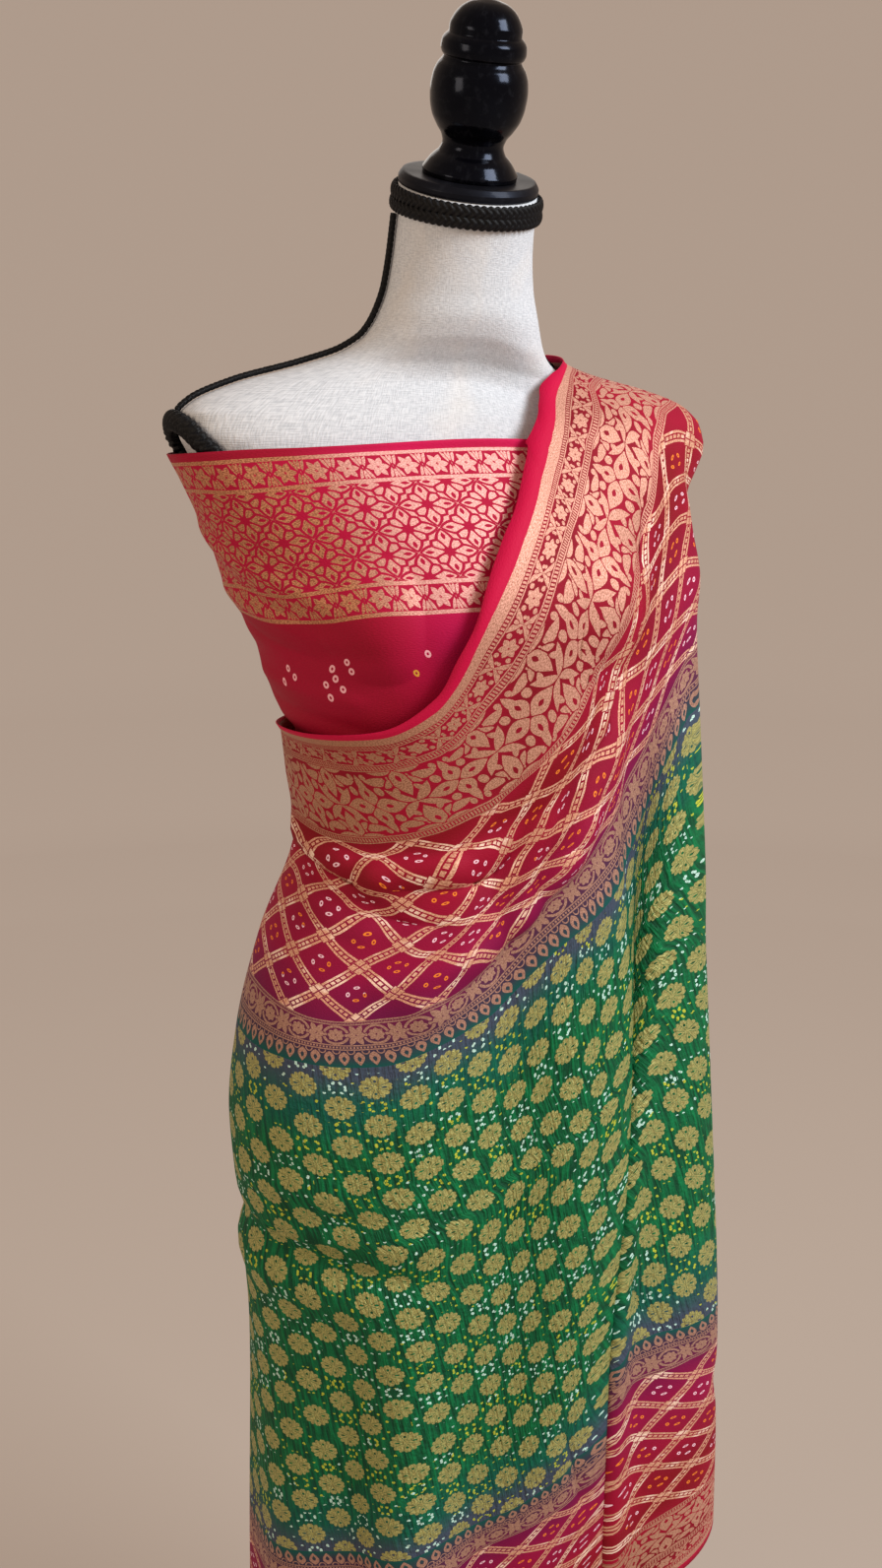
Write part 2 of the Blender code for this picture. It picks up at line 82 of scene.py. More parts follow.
def surface(name, points, flat, ring=False, capped=False):
    """Faces (i, j), (i, j + 1), (i + 1, j + 1), (i + 1, j); a ring's flat grid has one column more."""
    columns, rows = points.shape[:2]
    number = np.arange(columns * rows).reshape(columns, rows)
    here = number if ring else number[:-1]
    beside = np.roll(number, -1, axis=0) if ring else number[1:]
    faces = np.stack([here[:, :-1], here[:, 1:], beside[:, 1:], beside[:, :-1]], -1).reshape(-1, 4).tolist()
    places = np.stack([flat[:-1, :-1], flat[:-1, 1:], flat[1:, 1:], flat[1:, :-1]], 2).reshape(-1, 2)
    if capped:
        faces += [number[:, 0].tolist(), number[::-1, -1].tolist()]
        ends = np.concatenate([points[:, 0, :2], points[::-1, -1, :2]])
        places = np.concatenate([places, ends])
    mesh = bpy.data.meshes.new(name)
    mesh.from_pydata(points.reshape(-1, 3).tolist(), [], faces)
    mesh.uv_layers.new(name=CLOTH_MAP).uv.foreach_set("vector", places.astype(np.float32).ravel())
    mesh.shade_smooth()
    piece = bpy.data.objects.new(name, mesh)
    bpy.context.collection.objects.link(piece)
    print(f"{name}: {columns} x {rows} points")
    return piece


def thicken(piece, thickness):
    """A wall of this thickness, laid on the outer side of the sheet."""
    wall = piece.modifiers.new("thickness", "SOLIDIFY")
    wall.thickness = thickness
    wall.offset = 1.0


def fit(piece, finish, slot, *solids):
    """Gives the piece its finish, sets it on the form's one body, and hides the solids that it stands for.
    """
    for material in finish if isinstance(finish, list) else [finish]:
        piece.data.materials.append(material)
    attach(piece, "root")
    if solids:
        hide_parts(*solids)


# %% [markdown]
# ## Patterns from numbers
#
# A loom places gold thread by thread, from a chart on squared paper. Shader nodes can do the same: a
# Math node holds a number at each point of the cloth, and a motif is where that number is above zero.
# Written as nodes, a flower takes pages. The small class below lets Python's own signs add the nodes,
# so that a leaf can be written as a line of arithmetic.

# %% Let arithmetic make nodes
class Chart:
    """A number, or a colour, at each point of a surface: the output of a shader node."""

    def __init__(self, tree, socket):
        self.tree = tree
        self.socket = socket

    def work(self, operation, *values):
        node = self.tree.nodes.new("ShaderNodeMath")
        node.operation = operation
        for slot, value in zip(node.inputs, values):
            join(self.tree, value, slot)
        return Chart(self.tree, node.outputs[0])

    def __add__(self, other):
        return self.work("ADD", self, other)

    __radd__ = __add__

    def __sub__(self, other):
        return self.work("SUBTRACT", self, other)

    def __rsub__(self, other):
        return self.work("SUBTRACT", other, self)

    def __mul__(self, other):
        return self.work("MULTIPLY", self, other)

    def __abs__(self):
        return self.work("ABSOLUTE", self)

    def above(self, level):
        return self.work("GREATER_THAN", self, level)

    def near(self, middle, reach):
        return self.work("COMPARE", self, middle, reach)

    def every(self, period):
        """The distance from the nearest repeat: it runs from -period / 2 to period / 2."""
        return self.work("WRAP", self, period / 2, -period / 2)

    def counted(self, period):
        """The number of the repeat that the point lies in."""
        return (self * (1 / period) + 0.5).work("FLOOR", self * (1 / period) + 0.5)

    def ramp(self, low, high):
        """0 below low, 1 above high and an even rise between."""
        share = (self - low) * (1 / (high - low))
        return share.work("MINIMUM", share.work("MAXIMUM", share, 0.0), 1.0)


def join(tree, value, slot):
    """A chart is linked to the slot, and a plain number or colour is set on it."""
    if isinstance(value, Chart):
        tree.links.new(value.socket, slot)
    else:
        slot.default_value = value


def larger(first, *others):
    """The largest value at each point: shapes laid together."""
    for other in others:
        first = first.work("MAXIMUM", first, other)
    return first


def smaller(first, *others):
    """The smallest value at each point: what the shapes have in common."""
    for other in others:
        first = first.work("MINIMUM", first, other)
    return first


def distance(x, y):
    """The square root of x squared + y squared."""
    return x.work("SQRT", x * x + y * y)


# %% [markdown]
# Every motif here is made of a few shapes, measured in millimetres on the flat cloth. Each function
# gives a number that is about the distance inside the shape's edge, and is below zero outside it.
# A flower is one petal, with the plane folded round its centre. Where shapes crowd a band, they grow
# until a thin line of the ground is left between them, as weavers fill a band.

# %% Draw the shapes
def moved(x, y, to, turn=0.0):
    """The same point measured from another origin, with the axes turned by an angle in degrees."""
    cosine, sine = float(np.cos(np.radians(turn))), float(np.sin(np.radians(turn)))
    ahead = y.work("MULTIPLY_ADD", y, sine, -to[0] * cosine - to[1] * sine)
    aside = y.work("MULTIPLY_ADD", y, cosine, to[0] * sine - to[1] * cosine)
    return x.work("MULTIPLY_ADD", x, cosine, ahead), x.work("MULTIPLY_ADD", x, -sine, aside)


def leaf(x, y, long, wide):
    """Pointed at both ends: half its width is 2 w t (1 - t), with t from 0 to 1 along it."""
    t = x * (1 / long)
    return (t - t * t) * (2 * wide) - abs(y)


def leaf_between(x, y, start, end, wide, bend=0.0):
    """A leaf from one point to another, bowed sideways by bend."""
    across, up = end[0] - start[0], end[1] - start[1]
    x, y = moved(x, y, start, np.degrees(np.arctan2(up, across)))
    long = float(np.hypot(across, up))
    if bend:
        t = x * (1 / long)
        y = y - (t - t * t) * (4 * bend)
    return leaf(x, y, long, wide)


def petal(x, y, long, wide):
    """Pointed at the start and blunt at the end: half its width is 1.3 w t (1 - t squared)."""
    t = larger(x * (1 / long), -0.577)
    return (t - t * t * t) * (1.3 * wide) - abs(y)


def disc(x, y, radius):
    """The radius less the distance from the middle."""
    return radius - distance(x, y)


def folded_round(x, y, petals):
    """Turns the point into the wedge of one petal: polar coordinates, with the angle wrapped."""
    radius = distance(x, y)
    angle = x.work("ARCTAN2", y, x).every(2 * np.pi / petals)
    return radius * x.work("COSINE", angle), radius * x.work("SINE", angle)


def crowded(shapes, swell, gap):
    """1 where the nearest shape, let out by swell, leads its next neighbour by more than the gap."""
    nearest, following = larger(shapes[0], shapes[1]), smaller(shapes[0], shapes[1])
    for shape in shapes[2:]:
        following = larger(following, smaller(nearest, shape))
        nearest = larger(nearest, shape)
    return nearest.above(-swell) * (nearest - following).above(gap)


def ladder(along, across, middle, half, pitch):
    """Two thin ropes with square rungs between them."""
    ropes = abs(across - middle).near(half - 0.55, 0.55)
    rungs = along.every(pitch).near(0.0, pitch * 0.29) * across.near(middle, half - 1.7)
    return larger(ropes, rungs)


# %% [markdown]
# ## Colour and thread
#
# Colours are written as the eye reads them on a screen, 0 to 255, and turned into the amounts of light
# that a renderer adds up. Gold thread is a flat metal strip wound on silk, so the finish is partly
# metal, paler where it lies flat and darker where it dips between the ground threads.

# %% Mix colours and thread
def dye(red, green, blue):
    """The screen's curve undone: ((s + 0.055) / 1.055) to the power 2.4, and s / 12.92 near black."""
    screen = np.array([red, green, blue]) / 255
    light = np.where(screen > 0.04045, ((screen + 0.055) / 1.055) ** 2.4, screen / 12.92)
    return (*light.tolist(), 1.0)


def over(share, under, top):
    """Two colours: the top one shows where the share is 1."""
    node = share.tree.nodes.new("ShaderNodeMix")
    node.data_type = "RGBA"
    join(share.tree, share, node.inputs[0])
    join(share.tree, under, node.inputs[6])
    join(share.tree, top, node.inputs[7])
    return Chart(share.tree, node.outputs[2])


def packed(x, y):
    """Two numbers side by side, as a place for a texture."""
    node = x.tree.nodes.new("ShaderNodeCombineXYZ")
    join(x.tree, x, node.inputs[0])
    join(x.tree, y, node.inputs[1])
    return node.outputs[0]


def clouds(along, across, long, wide, detail=2.0):
    """Soft noise from 0 to 1, in patches of about this length and width."""
    node = along.tree.nodes.new("ShaderNodeTexNoise")
    node.noise_dimensions = "2D"
    node.inputs["Scale"].default_value = 1.0
    node.inputs["Detail"].default_value = detail
    along.tree.links.new(packed(along * (1 / long), across * (1 / wide)), node.inputs["Vector"])
    return Chart(along.tree, node.outputs[0])


def lot(first, second):
    """A number drawn from 0 to 1 for each pair of whole numbers."""
    node = first.tree.nodes.new("ShaderNodeTexWhiteNoise")
    node.noise_dimensions = "2D"
    first.tree.links.new(packed(first, second), node.inputs["Vector"])
    return Chart(first.tree, node.outputs[0])


def cloth_finish(name):
    """A new finish, with its two directions on the flat cloth in millimetres."""
    finish = bpy.data.materials.new(name)
    finish.use_nodes = True
    tree = finish.node_tree
    flat = tree.nodes.new("ShaderNodeUVMap")
    flat.uv_map = CLOTH_MAP
    split = tree.nodes.new("ShaderNodeSeparateXYZ")
    tree.links.new(flat.outputs[0], split.inputs[0])
    return finish, Chart(tree, split.outputs[0]) * 1000, Chart(tree, split.outputs[1]) * 1000


def set_surface(finish, colour, rough, metal=0.0, relief=None, depth=0.0, **fixed):
    """Joins colour, roughness, metal and a relief in metres to the shader; fixed values go straight in."""
    tree = finish.node_tree
    shader = tree.nodes["Principled BSDF"]
    join(tree, colour, shader.inputs["Base Color"])
    join(tree, rough, shader.inputs["Roughness"])
    join(tree, metal, shader.inputs["Metallic"])
    if relief is not None:
        bump = tree.nodes.new("ShaderNodeBump")
        bump.inputs["Distance"].default_value = depth
        join(tree, relief, bump.inputs["Height"])
        tree.links.new(bump.outputs[0], shader.inputs["Normal"])
    for name, value in fixed.items():
        shader.inputs[name.replace("_", " ")].default_value = value
    print(f"{finish.name}: {len(tree.nodes)} nodes")


def brocade(finish, along, across, ground, gold, thread_light, thread_dark, relief, depth):
    """Silk ground with gold thread over it where gold is 1, and the grain of the thread."""
    grain = clouds(along, across, 1.6, 0.7)
    thread = over(grain.ramp(0.35, 0.65), thread_dark, thread_light)
    colour = over(gold, ground, thread)
    rough = 0.7 - gold * 0.2
    set_surface(finish, colour, rough, gold * 0.25, relief, depth, Specular_IOR_Level=0.22)


# %% [markdown]
# ## The form's own shape
#
# The solids were lofted from a short table of level sections, and the finer surfaces here come from
# the same tables, so they fit each other and the solids. Between two rows of a table the value
# follows a cubic whose slope at a row is the harmonic mean of the slopes beside it, so that it never
# swings past its rows.

# %% Repeat the body's tables
# height, half width, depth in front, depth behind, centre's setback, squareness, slope
BODY = (
    (0.760, 0.166, 0.115, 0.119, 0.000, 2.3, 0.00),
    (0.830, 0.172, 0.119, 0.123, 0.000, 2.3, 0.00),
    (0.900, 0.164, 0.115, 0.117, 0.000, 2.3, 0.00),
    (0.980, 0.143, 0.103, 0.103, 0.000, 2.3, 0.00),
    (1.075, 0.109, 0.087, 0.085, 0.000, 2.3, 0.00),
    (1.160, 0.115, 0.095, 0.091, 0.000, 2.3, 0.00),
    (1.230, 0.141, 0.107, 0.099, 0.000, 2.3, 0.00),
    (1.300, 0.168, 0.107, 0.103, 0.000, 2.4, 0.00),
    (1.350, 0.188, 0.095, 0.104, 0.000, 2.5, 0.00),
    (1.377, 0.202, 0.085, 0.099, 0.000, 2.5, 0.00),
    (1.392, 0.2085, 0.080, 0.095, 0.000, 2.5, 0.00),
    (1.405, 0.2085, 0.075, 0.089, 0.000, 2.4, 0.00),
    (1.414, 0.200, 0.070, 0.083, 0.000, 2.3, 0.00),
    (1.428, 0.166, 0.064, 0.075, 0.002, 2.2, 0.00),
    (1.442, 0.114, 0.059, 0.066, -0.006, 2.0, 0.00),
    (1.452, 0.086, 0.057, 0.061, -0.018, 2.0, 0.00),
    (1.464, 0.071, 0.056, 0.057, -0.030, 2.0, 0.02),
    (1.482, 0.062, 0.055, 0.055, -0.038, 2.0, 0.08),
    (1.500, 0.0565, 0.0535, 0.0535, -0.041, 2.0, 0.14),
    (1.530, 0.0530, 0.0520, 0.0520, -0.047, 2.0, 0.24),
    (1.575, 0.0510, 0.0510, 0.0510, -0.060, 2.0, 0.36),
)
BUST_TURN, BUST_HEIGHT, BUST_RISE = 36.0, 1.255, 0.030
BUST_WIDE, BUST_TALL = 21.0, 0.055
SHOULDER_DROP, DROP_FROM, DROP_FULL = 0.013, 1.30, 1.39
DROP_UNTIL, DROP_GONE = 1.455, 1.505
NECK_TOP, HIP = 1.568, BODY[0][0]
FIT = 0.0003


def through(x, rows):
    """A smooth curve through the rows of a table, the first column against the others."""
    table = np.asarray(rows, float)
    at, values = table[:, 0], table[:, 1:]
    step = np.diff(at)[:, None]
    rise = np.diff(values, axis=0) / step
    slope = np.vstack([rise[:1], np.zeros_like(rise[1:]), rise[-1:]])
    product = rise[:-1] * rise[1:]
    total = np.where(product > 0, rise[:-1] + rise[1:], 1.0)
    slope[1:-1] = np.where(product > 0, 2 * product / total, 0.0)
    x = np.clip(np.asarray(x, float), at[0], at[-1])
    i = np.clip(np.searchsorted(at, x) - 1, 0, len(at) - 2)
    t = ((x - at[i]) / np.diff(at)[i])[..., None]
    near = (1 + 2 * t) * (1 - t) ** 2 * values[i] + t * (1 - t) ** 2 * step[i] * slope[i]
    far = t * t * (3 - 2 * t) * values[i + 1] - t * t * (1 - t) * step[i] * slope[i + 1]
    return near + far


def ease(x):
    """3 x squared - 2 x cubed: from 0 to 1, level at both ends."""
    x = np.clip(x, 0.0, 1.0)
    return x * x * (3 - 2 * x)


def section_reach(turn, height, rows):
    """A squared ellipse: (|sin / half| to the s + |cos / deep| to the s) to the power -1 / s."""
    turn, height = np.broadcast_arrays(np.asarray(turn, float), np.asarray(height, float))
    half, front, back, centre, square, slope = np.moveaxis(through(height, rows), -1, 0)
    sine, cosine = np.sin(np.radians(turn)), np.cos(np.radians(turn))
    deep = np.where(cosine > 0, front, back)
    radius = (np.abs(sine / half) ** square + np.abs(cosine / deep) ** square) ** (-1 / square)
    return radius, centre, sine, cosine, slope


def shoulder_drop(turn, height):
    """How much lower the left shoulder sits than the right one."""
    rising = ease((height - DROP_FROM) / (DROP_FULL - DROP_FROM))
    falling = ease((DROP_GONE - height) / (DROP_GONE - DROP_UNTIL))
    return SHOULDER_DROP * rising * falling * ease(np.sin(np.radians(turn)))


def body_point(turn, height, stand_off=0.0):
    """The body's surface: its section, with a soft bell-shaped swell on each side of the chest."""
    radius, centre, sine, cosine, slope = section_reach(turn, height, BODY)
    tall = ((height - BUST_HEIGHT) / BUST_TALL) ** 2
    for side in (-1, 1):
        wide = ((turn - side * BUST_TURN) / BUST_WIDE) ** 2
        radius = radius + BUST_RISE * np.exp(-wide - tall)
    radius = radius + stand_off
    level = height - radius * cosine * slope - shoulder_drop(turn, height)
    return np.stack([radius * sine, centre - radius * cosine, level], -1)


def lengths(points):
    """The running length along each row of a grid, from its first column."""
    steps = np.linalg.norm(np.diff(points, axis=0), axis=-1)
    return np.concatenate([np.zeros((1, points.shape[1])), np.cumsum(steps, axis=0)])


# %% [markdown]
# ## The linen body
#
# The body is a light shell with off-white linen stretched over it. Linen yarn is uneven: thicker
# slubs run a few millimetres along the thread in both directions, and the cloth has yellowed a
# little. One capped grid from neck to hip gives the shape, and two crossed, stretched noises give
# the slubs in the colour and in the relief.

# %% Weave the linen
LINEN_RADIUS = 0.13


def linen_finish():
    finish, along, across = cloth_finish("linen")
    weft = clouds(along, across, 9.0, 0.9)
    warp = clouds(along, across, 0.9, 7.0)
    slub = (weft + warp) * 0.5
    aged = clouds(along, across, 90.0, 60.0)
    colour = over(slub.ramp(0.36, 0.62), dye(186, 191, 198), dye(216, 220, 226))
    colour = over(aged.ramp(0.5, 0.85) * 0.3, colour, dye(232, 222, 210))
    set_surface(finish, colour, 0.92 - slub * 0.1, 0.0, slub, 0.0006, Specular_IOR_Level=0.25)
    return finish


def make_form():
    turns = np.linspace(-180, 180, 241)[:, None]
    heights = np.concatenate([np.linspace(NECK_TOP, 1.475, 50), np.linspace(1.473, 1.380, 72),
                              np.linspace(1.375, HIP, 90)])[None, :]
    points = body_point(turns, heights)
    around = np.radians(turns) * LINEN_RADIUS + 0 * heights
    front = points[len(turns) // 2]
    down = np.concatenate([[0.0], np.cumsum(np.linalg.norm(np.diff(front, axis=0), axis=-1))])
    flat = np.stack([around, down + 0 * turns], -1)
    form = surface("form_linen", points[:-1], flat, ring=True, capped=True)
    fit(form, linen_finish(), "linen", "form_body")


make_form()

# %% [markdown]
# ## Turned wood and the stand
#
# A black knob of turned wood stands on the neck, over a flat cap. A lathe makes one profile all the
# way round, so each piece is its profile carried round an axis. The neck's top slopes forward, and
# the knob and its cap stand square to it. The lacquer is nearly black under a film of dust, with a
# faint shine that is a little blue, like the daylight that it mirrors.

# %% Turn the knob, cap, collar, pole and base
# height along the knob's axis, and radius
KNOB = (
    (0.0000, 0.0350), (0.0030, 0.0352), (0.0060, 0.0335), (0.0085, 0.0318), (0.0110, 0.0300),
    (0.0135, 0.0276), (0.0165, 0.0246), (0.0220, 0.0226), (0.0270, 0.0240), (0.0330, 0.0282),
    (0.0410, 0.0326), (0.0500, 0.0348), (0.0580, 0.0354), (0.0670, 0.0345), (0.0740, 0.0320),
    (0.0785, 0.0288), (0.0800, 0.0282), (0.0820, 0.0298), (0.0860, 0.0309), (0.0905, 0.0304),
    (0.0940, 0.0282), (0.0960, 0.0262), (0.1000, 0.0262), (0.1060, 0.0240), (0.1120, 0.0196),
    (0.1165, 0.0128), (0.1185, 0.0060),
)
CAP_RADIUS, CAP_THICK = 0.0522, 0.0090
BASE_RADIUS, BASE_THICK, POLE_RADIUS = 0.180, 0.018, 0.016
COLLAR_RADIUS, COLLAR_TALL = 0.034, 0.030
CROWN_RISE, CROWN_IN = 0.0012, 0.0078
DUST_RELIEF = 0.00008


def turned(name, profile, sides=96, place=Matrix()):
    """A ring for each (height, radius) of the profile: radius cos a, radius sin a, height."""
    profile = np.asarray(profile, float)[::-1]
    angle = np.linspace(0, 2 * np.pi, sides + 1)[:, None]
    height, radius = profile[None, :, 0] + 0 * angle, profile[None, :, 1]
    points = np.stack([radius * np.cos(angle), radius * np.sin(angle), height], -1)
    flat = np.stack([angle * profile[:, 1].max() + 0 * height, height], -1)
    piece = surface(name, points[:-1], flat, ring=True, capped=True)
    piece.data.transform(place)
    return piece


def neck_place(above):
    """The frame of the sloping neck top, this far above it: its Z axis leans forward."""
    rim = body_point(np.array([0.0, 180.0]), np.array([NECK_TOP, NECK_TOP]))
    backward = Vector(rim[1] - rim[0]).normalized()
    side = Vector((1, 0, 0))
    up = side.cross(backward)
    centre = Vector(rim.mean(axis=0)) + up * above
    return Matrix.Translation(centre) @ Matrix((side, backward, up)).transposed().to_4x4()


def rounded(profile, steps=6):
    """The profile with more rows along its straight stretches, so that shading stays even."""
    profile = np.asarray(profile, float)
    share = np.linspace(0, 1, steps, endpoint=False)[:, None]
    rows = [low + (high - low) * share for low, high in zip(profile[:-1], profile[1:])]
    return np.concatenate([*rows, profile[-1:]])


def lacquer_finish(name, black, rough):
    finish, along, across = cloth_finish(name)
    dust = clouds(along, across, 6.0, 6.0, 4.0)
    wear = clouds(along, across, 30.0, 14.0)
    colour = over(dust.ramp(0.55, 0.85) * 0.15, black, dye(58, 60, 68))
    set_surface(finish, colour, rough + wear * 0.12, 0.0, dust, DUST_RELIEF, Coat_Weight=0.03,
                Coat_Roughness=0.04, Specular_IOR_Level=0.13, Specular_Tint=dye(196, 214, 255))
    return finish


def make_stand():
    gloss = lacquer_finish("black lacquer", dye(4, 4, 7), 0.10)
    satin = lacquer_finish("satin black", dye(15, 15, 19), 0.34)
    height = np.linspace(KNOB[0][0], KNOB[-1][0], 210)
    profile = np.column_stack([height, through(height, KNOB)])
    crown = np.linspace(0, 1, 9)[1:, None] * np.array([[CROWN_RISE, -CROWN_IN]])
    profile = np.concatenate([profile, profile[-1] + crown])
    fit(turned("knob_turned", profile, place=neck_place(CAP_THICK + 3 * FIT)), gloss, "lacquer", "knob")
    cap = ((0.0, CAP_RADIUS - 0.001), (0.0006, CAP_RADIUS - 0.0003), (0.002, CAP_RADIUS),
           (0.0050, CAP_RADIUS), (0.0066, CAP_RADIUS - 0.0008), (CAP_THICK, CAP_RADIUS - 0.0025),
           (CAP_THICK, 0.036))
    fit(turned("cap_turned", rounded(cap), place=neck_place(2 * FIT)), satin, "lacquer", "neck_cap")
    top = HIP - FIT
    collar = ((top - COLLAR_TALL, COLLAR_RADIUS - 0.006), (top - 0.93 * COLLAR_TALL, COLLAR_RADIUS - 0.003),
              (top - 0.6 * COLLAR_TALL, COLLAR_RADIUS - 0.002), (top - 0.3 * COLLAR_TALL, COLLAR_RADIUS),
              (top, COLLAR_RADIUS))
    fit(turned("collar_turned", rounded(collar)), satin, "stand", "collar")
    pole = ((BASE_THICK + FIT, POLE_RADIUS), (top - COLLAR_TALL - FIT, POLE_RADIUS))
    fit(turned("pole_tube", rounded(pole, 40), 48), satin, "stand", "pole")
    base = ((0.0, BASE_RADIUS - 0.002), (0.002, BASE_RADIUS), (0.010, BASE_RADIUS),
            (0.0135, BASE_RADIUS - 0.0025), (0.015, BASE_RADIUS - 0.006), (0.0172, BASE_RADIUS - 0.014),
            (BASE_THICK, BASE_RADIUS - 0.020), (BASE_THICK, 0.05))
    fit(turned("base_spun", rounded(base), 128), satin, "stand", "base")


make_stand()

# %% [markdown]
# ## Black braid
#
# The trims are gimp: strands wound over a core and plaited, so light breaks on them in little V
# shapes. A flat black strip would look painted on, so the plait is in the surface itself. A braid is
# a flat tube carried along its line, and its skin rises and falls with the cosine of a number that
# runs along the tube and changes with the distance from the tube's middle line. The cord is drawn
# about 4 mm wide and close to the linen, slimmer than its solid, because it looks so in the photograph.

# %% Plait the braids and cords
BAND_TALL, BAND_THICK = 0.018, 0.0040
CORD, CORD_GAP, CORD_END, CORD_HIDDEN = 0.0055, 0.0020, 1.4070, 1.4510
RIGHT_CORD, LEFT_CORD = (-92.0, -90.0), (112.0, 92.0)
BRAID_WIDE, BRAID_THICK = 0.0128, 0.0068
ARM_TURN, ARM_HEIGHT, ARM_WIDE, ARM_TALL = -90.0, 1.352, 14.0, 0.049
# How far below the neck's top each strip of the band runs, then the strips' own section and plait
STRIPS_DOWN = (0.0050, 0.0128)
STRIP_WIDE, STRIP_THICK, STRIP_STRAND, STRIP_RELIEF = 0.0082, 0.0030, 0.0052, 0.0013
CORD_OUT, CORD_WIDE, CORD_THICK = 0.0034, 0.72 * CORD, 0.65 * CORD
CORD_STRAND, CORD_RELIEF = 0.0040, 0.0007
ARM_THICK, ARM_STRAND, ARM_SLANT, ARM_RELIEF = 1.35 * BRAID_THICK, 0.0064, 1.1, 0.0020


def braid_finish():
    finish, along, across = cloth_finish("black braid")
    fibre = clouds(along, across, 0.5, 2.5)
    dust = clouds(along, across, 12.0, 12.0, 3.0)
    # Painted highlight: the braid is paler on its raised fibres; the paler patches of dust are dust.
    colour = over(fibre.ramp(0.5, 0.85) * 0.55 + dust.ramp(0.6, 0.9) * 0.2, dye(3, 3, 5), dye(30, 33, 42))
    set_surface(finish, colour, 0.58 - fibre * 0.2, 0.0, fibre, 0.0004, Specular_IOR_Level=0.2)
    return finish


def body_normal(turn, height):
    """The cross product of a small step round the body and a small step up it, made one long."""
    round_it = body_point(turn + 1.0, height) - body_point(turn - 1.0, height)
    up_it = body_point(turn, height + 0.002) - body_point(turn, height - 0.002)
    normal = np.cross(round_it, up_it)
    return normal / np.linalg.norm(normal, axis=-1, keepdims=True)


def plaited(name, line, outward, wide, thick, strand, slant, relief, closed=False, sides=28):
    """A flat tube along a line, with strands of this pitch laid in V shapes.

    A ring's points are wide / 2 cos a aside and thick / 2 sin a out, each let out by
    relief |cos(pi (s / strand + slant |cos a|))|, where s is the length along the line.
    """
    if closed:
        forward = np.roll(line, -1, axis=0) - np.roll(line, 1, axis=0)
    else:
        forward = np.gradient(line, axis=0)
    forward = forward / np.linalg.norm(forward, axis=-1, keepdims=True)
    aside = np.cross(forward, outward)
    aside = aside / np.linalg.norm(aside, axis=-1, keepdims=True)
    steps = np.linalg.norm(np.diff(line, axis=0), axis=-1)
    run = np.concatenate([[0.0], np.cumsum(steps)])
    total = run[-1] + (np.linalg.norm(line[0] - line[-1]) if closed else 0.0)
    pitch = total / round(total / strand)
    angle = np.linspace(0, 2 * np.pi, sides + 1)[None, :]
    swell = relief * np.abs(np.cos(np.pi * (run[:, None] / pitch + slant * np.abs(np.cos(angle)))))
    over_aside = ((wide / 2 + swell) * np.cos(angle))[..., None] * aside[:, None]
    over_out = ((thick / 2 + swell) * np.sin(angle))[..., None] * outward[:, None]
    points = line[:, None] + over_aside + over_out
    flat = np.stack([run[:, None] + 0 * angle, angle * (wide + thick) / 4 + 0 * run[:, None]], -1)
    if closed:
        points = np.concatenate([points, points[:1]])
        flat = np.concatenate([flat, flat[:1] + [total, 0.0]])
    tube = points.transpose(1, 0, 2)[:-1]
    print(f"{name}: {total * 1000:.0f} mm of braid, {round(total / strand)} strands")
    return surface(name, tube, flat.transpose(1, 0, 2), ring=True, capped=not closed)


def make_trims():
    black = braid_finish()
    turns = np.linspace(-180, 180, 901)[:-1]
    for row, down in enumerate(STRIPS_DOWN):
        height = np.full(turns.shape, NECK_TOP - down)
        line = body_point(turns, height, BAND_THICK / 2 + 2 * FIT)
        strip = plaited(f"neck_plait_{row}", line, body_normal(turns, height), STRIP_WIDE, STRIP_THICK,
                        STRIP_STRAND, 1.0, STRIP_RELIEF, closed=True)
        if row == 0:
            fit(strip, black, "braid", "neck_band")
        else:
            fit(strip, black, "braid")
    start = NECK_TOP - BAND_TALL - 0.001
    for name, side, end, solid in (("shoulder_cord", RIGHT_CORD, CORD_END, "right_cord"),
                                   ("hidden_cord", LEFT_CORD, CORD_HIDDEN, "left_cord")):
        heights = np.linspace(start, end, 360)
        turned_to = np.linspace(*side, 360)
        out = body_normal(turned_to, heights)
        line = body_point(turned_to, heights) + out * CORD_OUT
        cord = plaited(name, line, out, CORD_WIDE, CORD_THICK, CORD_STRAND, 1.0, CORD_RELIEF)
        fit(cord, black, "braid", solid)
    angle = np.linspace(0, 2 * np.pi, 501)[:-1]
    turns, heights = ARM_TURN + ARM_WIDE * np.cos(angle), ARM_HEIGHT + ARM_TALL * np.sin(angle)
    out = body_normal(turns, heights)
    line = body_point(turns, heights) + out * (BRAID_THICK / 2 + CORD_GAP)
    braid = plaited("arm_plait", line, out, BRAID_WIDE, ARM_THICK, ARM_STRAND, ARM_SLANT, ARM_RELIEF,
                    closed=True)
    fit(braid, black, "braid", "arm_braid")


make_trims()

# %% [markdown]
# ## The chest wrap
#
# The wrap is a length of the same silk, with its gold end-piece bound round the chest and its plain
# part below. It is pulled straight over the hollows between the body's swells, so it has sections of
# its own. Its map runs round it by true length, so the bands keep their size where the body narrows,
# and it leans a little, because the cloth was pulled on at a slant.

# %% Shape the wrap
# height, half width, depth in front, depth behind, centre's setback, squareness, slope
WRAP = (
    (1.120, 0.106, 0.103, 0.088, 0.000, 2.2, 0.00),
    (1.150, 0.114, 0.110, 0.092, 0.000, 2.2, 0.00),
    (1.187, 0.136, 0.120, 0.098, 0.000, 2.2, 0.00),
    (1.219, 0.146, 0.127, 0.102, 0.000, 2.2, 0.00),
    (1.255, 0.156, 0.134, 0.105, 0.000, 2.2, 0.00),
    (1.320, 0.178, 0.119, 0.107, 0.000, 2.3, 0.00),
    (1.380, 0.205, 0.089, 0.101, 0.000, 2.4, 0.00),
)
WRAP_SHEET, WRAP_CLEAR = 0.0015, 0.0022
WRAP_LOW, WRAP_HIGH, WRAP_RISE = 1.125, 1.377, 0.011
WRAP_FADE, WRAP_END = 0.06, 1.425
